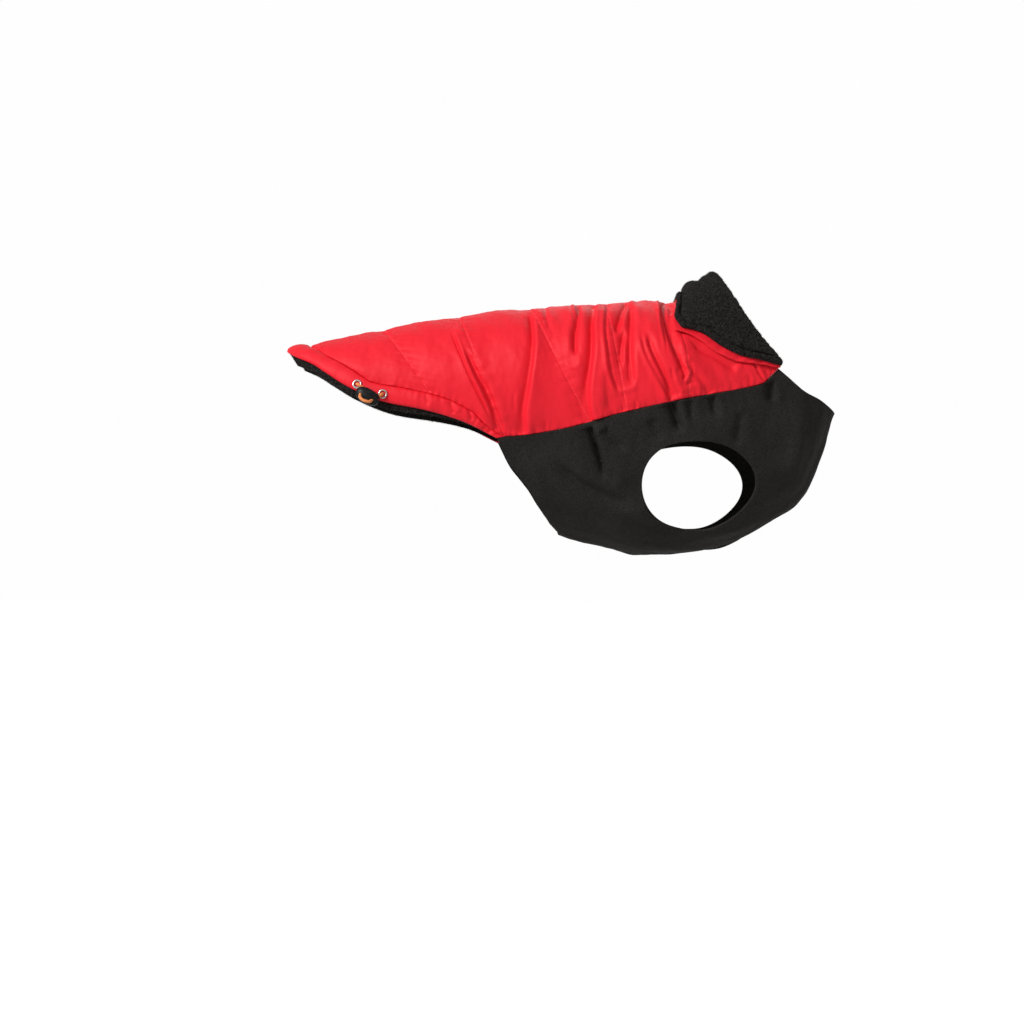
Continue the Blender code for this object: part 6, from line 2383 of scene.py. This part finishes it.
@dataclass
class CordLock:
    """The spring cord lock: a rounded body and plunger, parted by a groove and bored for the cord.

    split is how far down from the middle the groove runs, and hole_back and hole_front are the mouths of
    a bore, in mm along, down and out of the lock.
    """

    side_point: tuple[float, float] = (-225.6, -89.4)
    size: tuple[float, float, float] = (25.0, 14.5, 10.5)
    roundness: float = 2.5
    split: float = -2.6
    split_gap: float = 0.3
    tilt: float = math.radians(7.0)
    height: float = 11.0
    bore_radius: float = 1.75
    hole_back: tuple[float, float, float] = (9.4, -4.4, -1.9)
    hole_front: tuple[float, float, float] = (6.1, 2.4, 4.2)
    segments: tuple[int, int] = (72, 39)
    bevel: float = 0.45
    centre: Array = field(init=False)
    frame: Array = field(init=False)

    def settle(self, casing: HemCasing, eyelets: list[Eyelet]) -> None:
        """Works out the lock's centre, and a matrix with its directions along, down and out as rows.

        Args:
            casing: the casing that it hangs from.
            eyelets: the eyelets that its cord comes out of.
        """
        u, phi = FORM.locate(*self.side_point)
        place = u[0], phi[0] * Side.RIGHT.value
        base, out = FORM.point(*place), FORM.normal(*place)
        self.centre = base + out * (self.height + float(FOLDS.lift(base[None, :])[0]))
        span = casing.surface(eyelets[1].place, 0)[0] - casing.surface(eyelets[0].place, 0)[0]
        along = unit(span - out * (span @ out))
        along = along * math.cos(self.tilt) + np.cross(along, out) * math.sin(self.tilt)
        self.frame = np.stack([along, np.cross(along, out), out])

    def place(self, local: Array) -> Array:
        """Points given along, down and out of the lock, as points of the coat."""
        return self.centre + np.asarray(local, float) @ self.frame

    def bore_ends(self, mirror: int) -> tuple[Array, Array]:
        """A bore's mouths behind and in front, for the rear one with -1 and for the other with 1."""
        flip = np.array([mirror, 1, 1])
        return self.place(np.array(self.hole_back) * flip), self.place(np.array(self.hole_front) * flip)

    def _form(self, name: str) -> bpy.types.Object:
        """A sphere made squarer, |x|^(2 / roundness) on each axis, and drawn out to the three sizes.

        Args:
            name: the object's name.

        Returns:
            The whole lock's form.
        """
        around, down = self.segments
        turn = np.linspace(0, 2 * math.pi, around + 1)[:-1][:, None]
        tip = np.linspace(0, math.pi, down + 2)[None, 1:-1]
        upright = np.broadcast_to(np.cos(tip), (around, down))
        ball = np.stack([np.cos(turn) * np.sin(tip), np.sin(turn) * np.sin(tip), upright], axis=-1)
        flat = np.concatenate([ball.reshape(-1, 3), [[0, 0, 1], [0, 0, -1]]])
        form = np.sign(flat) * np.abs(flat) ** (2 / self.roundness) * np.array(self.size) / 2
        first = np.arange(around) * down
        last = first + down - 1
        top = np.stack([np.full(around, around * down), first, np.roll(first, -1)], axis=-1)
        low = np.stack([np.full(around, around * down + 1), np.roll(last, -1), last], axis=-1)
        quads = grid_quads(around, down, wrap=True)
        return plain_solid(name, self.place(form), quads, top.tolist() + low.tolist())

    def _half_space(self, name: str, direction: int) -> bpy.types.Object:
        """A box that takes away the other half of the form, along a slightly bowed groove.

        Args:
            name: the cutter's name.
            direction: 1 to leave the body and -1 to leave the plunger.

        Returns:
            The cutter.
        """
        span = np.linspace(-16, 16, 25)
        bow = self.split + direction * self.split_gap / 2 + 0.9 * (span / 12.0) ** 2
        far = np.full_like(span, -direction * 30.0)
        profile = np.concatenate([np.stack([span, bow], -1), np.stack([span, far], -1)[::-1]])
        local = [np.insert(profile, 2, depth, axis=1) for depth in (-12.0, 12.0)]
        return prism(name, self.place(np.concatenate(local)))

    def _bore(self, name: str, mirror: int) -> bpy.types.Object:
        """A round cutter along one of the two oblique holes.

        Args:
            name: the cutter's name.
            mirror: -1 for the rear hole and 1 for the other.

        Returns:
            The cutter.
        """
        start, end = self.bore_ends(mirror)
        way = unit(end - start)
        beside = unit(np.cross(way, [0.0, 0.0, 1.0]))
        other = np.cross(way, beside)
        angle = np.linspace(0, 2 * math.pi, 33)[:-1][:, None]
        ring = self.bore_radius * (beside * np.cos(angle) + other * np.sin(angle))
        reach = np.linalg.norm(end - start)
        return prism(name, np.concatenate([start - way * reach + ring, end + way * reach + ring]))

    def build(self, casing: HemCasing, eyelets: list[Eyelet]) -> list[bpy.types.Object]:
        """The lock's body and plunger, each standing for its solid.

        Args:
            casing: the casing that it hangs from.
            eyelets: the eyelets that its cord comes out of.

        Returns:
            The two pieces.
        """
        self.settle(casing, eyelets)
        return [self._half("cord_lock_body", 1), self._half("cord_lock_plunger", -1)]

    def _half(self, name: str, direction: int) -> bpy.types.Object:
        """One half of the form, parted by the groove, bored and softened at its edges.

        Args:
            name: the solid that it stands for.
            direction: 1 for the body and -1 for the plunger.

        Returns:
            The half's object.
        """
        piece = self._form(f"{name}_moulding")
        bores = [self._bore("bore_rear", -1), self._bore("bore_front", 1)]
        cutters = [self._half_space("groove", direction), *bores]
        for cutter in cutters:
            cut = piece.modifiers.new(cutter.name, "BOOLEAN")
            cut.operation, cut.solver, cut.object = "DIFFERENCE", "EXACT", cutter
        soft = piece.modifiers.new("edges", "BEVEL")
        soft.width, soft.segments, soft.limit_method = self.bevel * MM, 3, "ANGLE"
        soft.angle_limit = math.radians(38)
        graph = bpy.context.evaluated_depsgraph_get()
        made = bpy.data.meshes.new_from_object(piece.evaluated_get(graph))
        piece.modifiers.clear()
        piece.data = made
        for cutter in cutters:
            bpy.data.objects.remove(cutter)
        made.shade_smooth()
        made.set_sharp_from_angle(angle=math.radians(45))
        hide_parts(name)
        return finish_piece(piece, BLACK_PLASTIC.build())


@dataclass
class Drawcord:
    """The elastic cord out of one eyelet, through the lock, round its loop and back to the other."""

    diameter: float = 2.8
    braid: float = 0.07
    braid_pitch: float = 4.0
    steps: int = 240
    sides: int = 24
    loop: tuple[tuple[float, float, float], ...] = (
        (-4.9, 4.3, 6.6),
        (-1.2, 5.6, 8.2),
        (3.0, 5.2, 8.2),
        (5.8, 3.9, 6.5),
    )

    def route(self, casing: HemCasing, eyelets: list[Eyelet], lock: CordLock) -> Array:
        """Points along the cord's middle.

        Args:
            casing: the casing that it comes out of.
            eyelets: the eyelets that it passes.
            lock: the cord lock on it.

        Returns:
            The points, one eyelet's end first.
        """
        halves = []
        for eyelet, mirror in zip(eyelets, (-1, 1)):
            point, normal = casing.surface(eyelet.place, 0.3)
            start, end = lock.bore_ends(mirror)
            before = start - unit(end - start) * 1.2
            lead = before - point
            rising = [point + normal * 1.9 + lead * 0.12, point + normal * 2.6 + lead * 0.5]
            halves.append([point, *rising, before, start, (start + end) / 2, end])
        loop = list(lock.place(self.loop))
        return flowing_line(np.array(halves[0] + loop + halves[1][::-1]), self.steps)

    def build(self, casing: HemCasing, eyelets: list[Eyelet], lock: CordLock) -> bpy.types.Object:
        """The cord: a tube along its route whose radius carries two crossing sets of braided yarns.

        Args:
            casing: the casing that it comes out of.
            eyelets: the eyelets that it passes.
            lock: the cord lock on it.

        Returns:
            The cord's object.
        """
        path = self.route(casing, eyelets, lock)
        along = unit(np.gradient(path, axis=0))
        run = run_along(path)
        up = unit(np.cross(along, unit(lock.frame[2] + 0.2 * lock.frame[0])))
        side = np.cross(along, up)
        turn = np.linspace(0, 2 * math.pi, self.sides + 1)[:-1]
        phase = 2 * math.pi * run[:, None] / self.braid_pitch
        weave = np.sin(4 * turn[None, :] + phase) * np.sin(4 * turn[None, :] - phase)
        radius = self.diameter / 2 * (1 + self.braid * weave)[..., None]
        ring = up[:, None] * np.cos(turn)[None, :, None] + side[:, None] * np.sin(turn)[None, :, None]
        points = (path[:, None] + ring * radius).reshape(-1, 3)
        quads = tube_quads(self.steps, self.sides)
        if signed_volume(points, quads) < 0:
            quads = quads[:, ::-1]
        uv = np.stack([np.repeat(run, self.sides), np.tile(turn * self.diameter / 2, self.steps)], -1)
        piece = new_piece("drawcord_braid", points, [quads], uv * 0.1)
        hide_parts("drawcord")
        finish_piece(piece, ORANGE_ELASTIC.build())
        LOG.info("drawcord: %.1f mm shown", run[-1])
        return piece


# ---------------------------------------------------------------- the studio


@dataclass
class Studio:
    """A pale floor, soft lights and the camera at the photograph's angle. Lengths are metres."""

    floor_z: float = -0.78
    floor_reach: float = 12.0
    camera_at: tuple[float, float, float] = (-0.088, -2.2, -0.200)
    lens: float = 77.34
    sensor: float = 36.0
    ambient: float = 0.42
    backdrop: float = 0.99
    sun: float = 3.0
    sun_width: float = math.radians(16)
    sun_way: tuple[float, float, float] = (1.25, 1.04, -1.0)
    floor_glow: float = 0.47
    lamp_size: float = 1.2
    lamp_aim: tuple[float, float, float] = (0.0, 0.0, -0.1)

    def build(self) -> None:
        """Makes the floor, the world light, the window and area lights and the camera."""
        scene = bpy.context.scene
        scene.view_settings.view_transform = "Standard"
        self._floor()
        scene.world = self._sky()
        sun = bpy.data.lights.new("window_light", "SUN")
        sun.energy, sun.angle = self.sun, self.sun_width
        window = in_scene("window_light", sun)
        window.rotation_euler = Vector(self.sun_way).to_track_quat("-Z", "Y").to_euler()
        self._area("fill_light", (1.9, -1.9, 0.3), 3.0)
        self._area("back_light", (0.3, 2.0, 1.2), 6.0)
        camera = in_scene("camera", bpy.data.cameras.new("camera"))
        camera.data.sensor_width, camera.data.lens = self.sensor, self.lens
        camera.location = self.camera_at
        camera.rotation_euler = (math.pi / 2, 0.0, 0.0)
        scene.camera = camera

    def _sky(self) -> bpy.types.World:
        """A pale surround: one brightness as seen behind the coat, and a lower one as light on it.

        Returns:
            The world.
        """
        world = bpy.data.worlds.new("pale_studio")
        world.use_nodes = True
        bench = NodeBench(world.node_tree)
        seen = bench.add("ShaderNodeLightPath").outputs["Is Camera Ray"]
        background = world.node_tree.nodes["Background"]
        background.inputs["Color"].default_value = WHITE
        strength = bench.math("MULTIPLY_ADD", seen, self.backdrop - self.ambient, self.ambient)
        bench.feed(background.inputs["Strength"], strength)
        return world

    def _floor(self) -> None:
        """A pale floor, faintly uneven in tone, which glows only as seen by the camera."""
        mesh = bpy.data.meshes.new("floor")
        signs = ((-1, -1), (1, -1), (1, 1), (-1, 1))
        corners = [(x * self.floor_reach, y * self.floor_reach, self.floor_z) for x, y in signs]
        mesh.from_pydata(corners, [], [(0, 1, 2, 3)])
        floor = in_scene("floor", mesh)
        finish = PALE_FLOOR.build()
        shader = finish.node_tree.nodes["Principled BSDF"]
        shader.inputs["Emission Color"].default_value = WHITE
        bench = NodeBench(finish.node_tree)
        seen = bench.add("ShaderNodeLightPath").outputs["Is Camera Ray"]
        bench.feed(shader.inputs["Emission Strength"], bench.math("MULTIPLY", seen, self.floor_glow))
        mesh.materials.append(finish)

    def _area(self, name: str, at: tuple[float, float, float], power: float) -> None:
        """A square area light that looks at the coat.

        Args:
            name: the light's name.
            at: where it is.
            power: its power in watts.
        """
        light = bpy.data.lights.new(name, "AREA")
        light.energy, light.size = power, self.lamp_size
        lamp = in_scene(name, light)
        lamp.location = at
        lamp.rotation_euler = (Vector(self.lamp_aim) - Vector(at)).to_track_quat("-Z", "Y").to_euler()


def main() -> None:
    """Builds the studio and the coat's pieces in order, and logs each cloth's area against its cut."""
    Studio().build()
    casing = HemCasing()
    BackPanel().build()
    casing.build()
    BackLining().build()
    for side in Side:
        UnderPanel(side).build()
    Collar().build()
    eyelets = [Eyelet("eyelet_rear", (-231.5, 0.62)), Eyelet("eyelet_front", (-208.0, 0.60))]
    for eyelet in eyelets:
        eyelet.build(casing)
    lock = CordLock()
    lock.build(casing, eyelets)
    Drawcord().build(casing, eyelets, lock)


if __name__ == "__main__":
    logging.basicConfig(level=logging.INFO, format="%(name)s %(message)s")
    main()
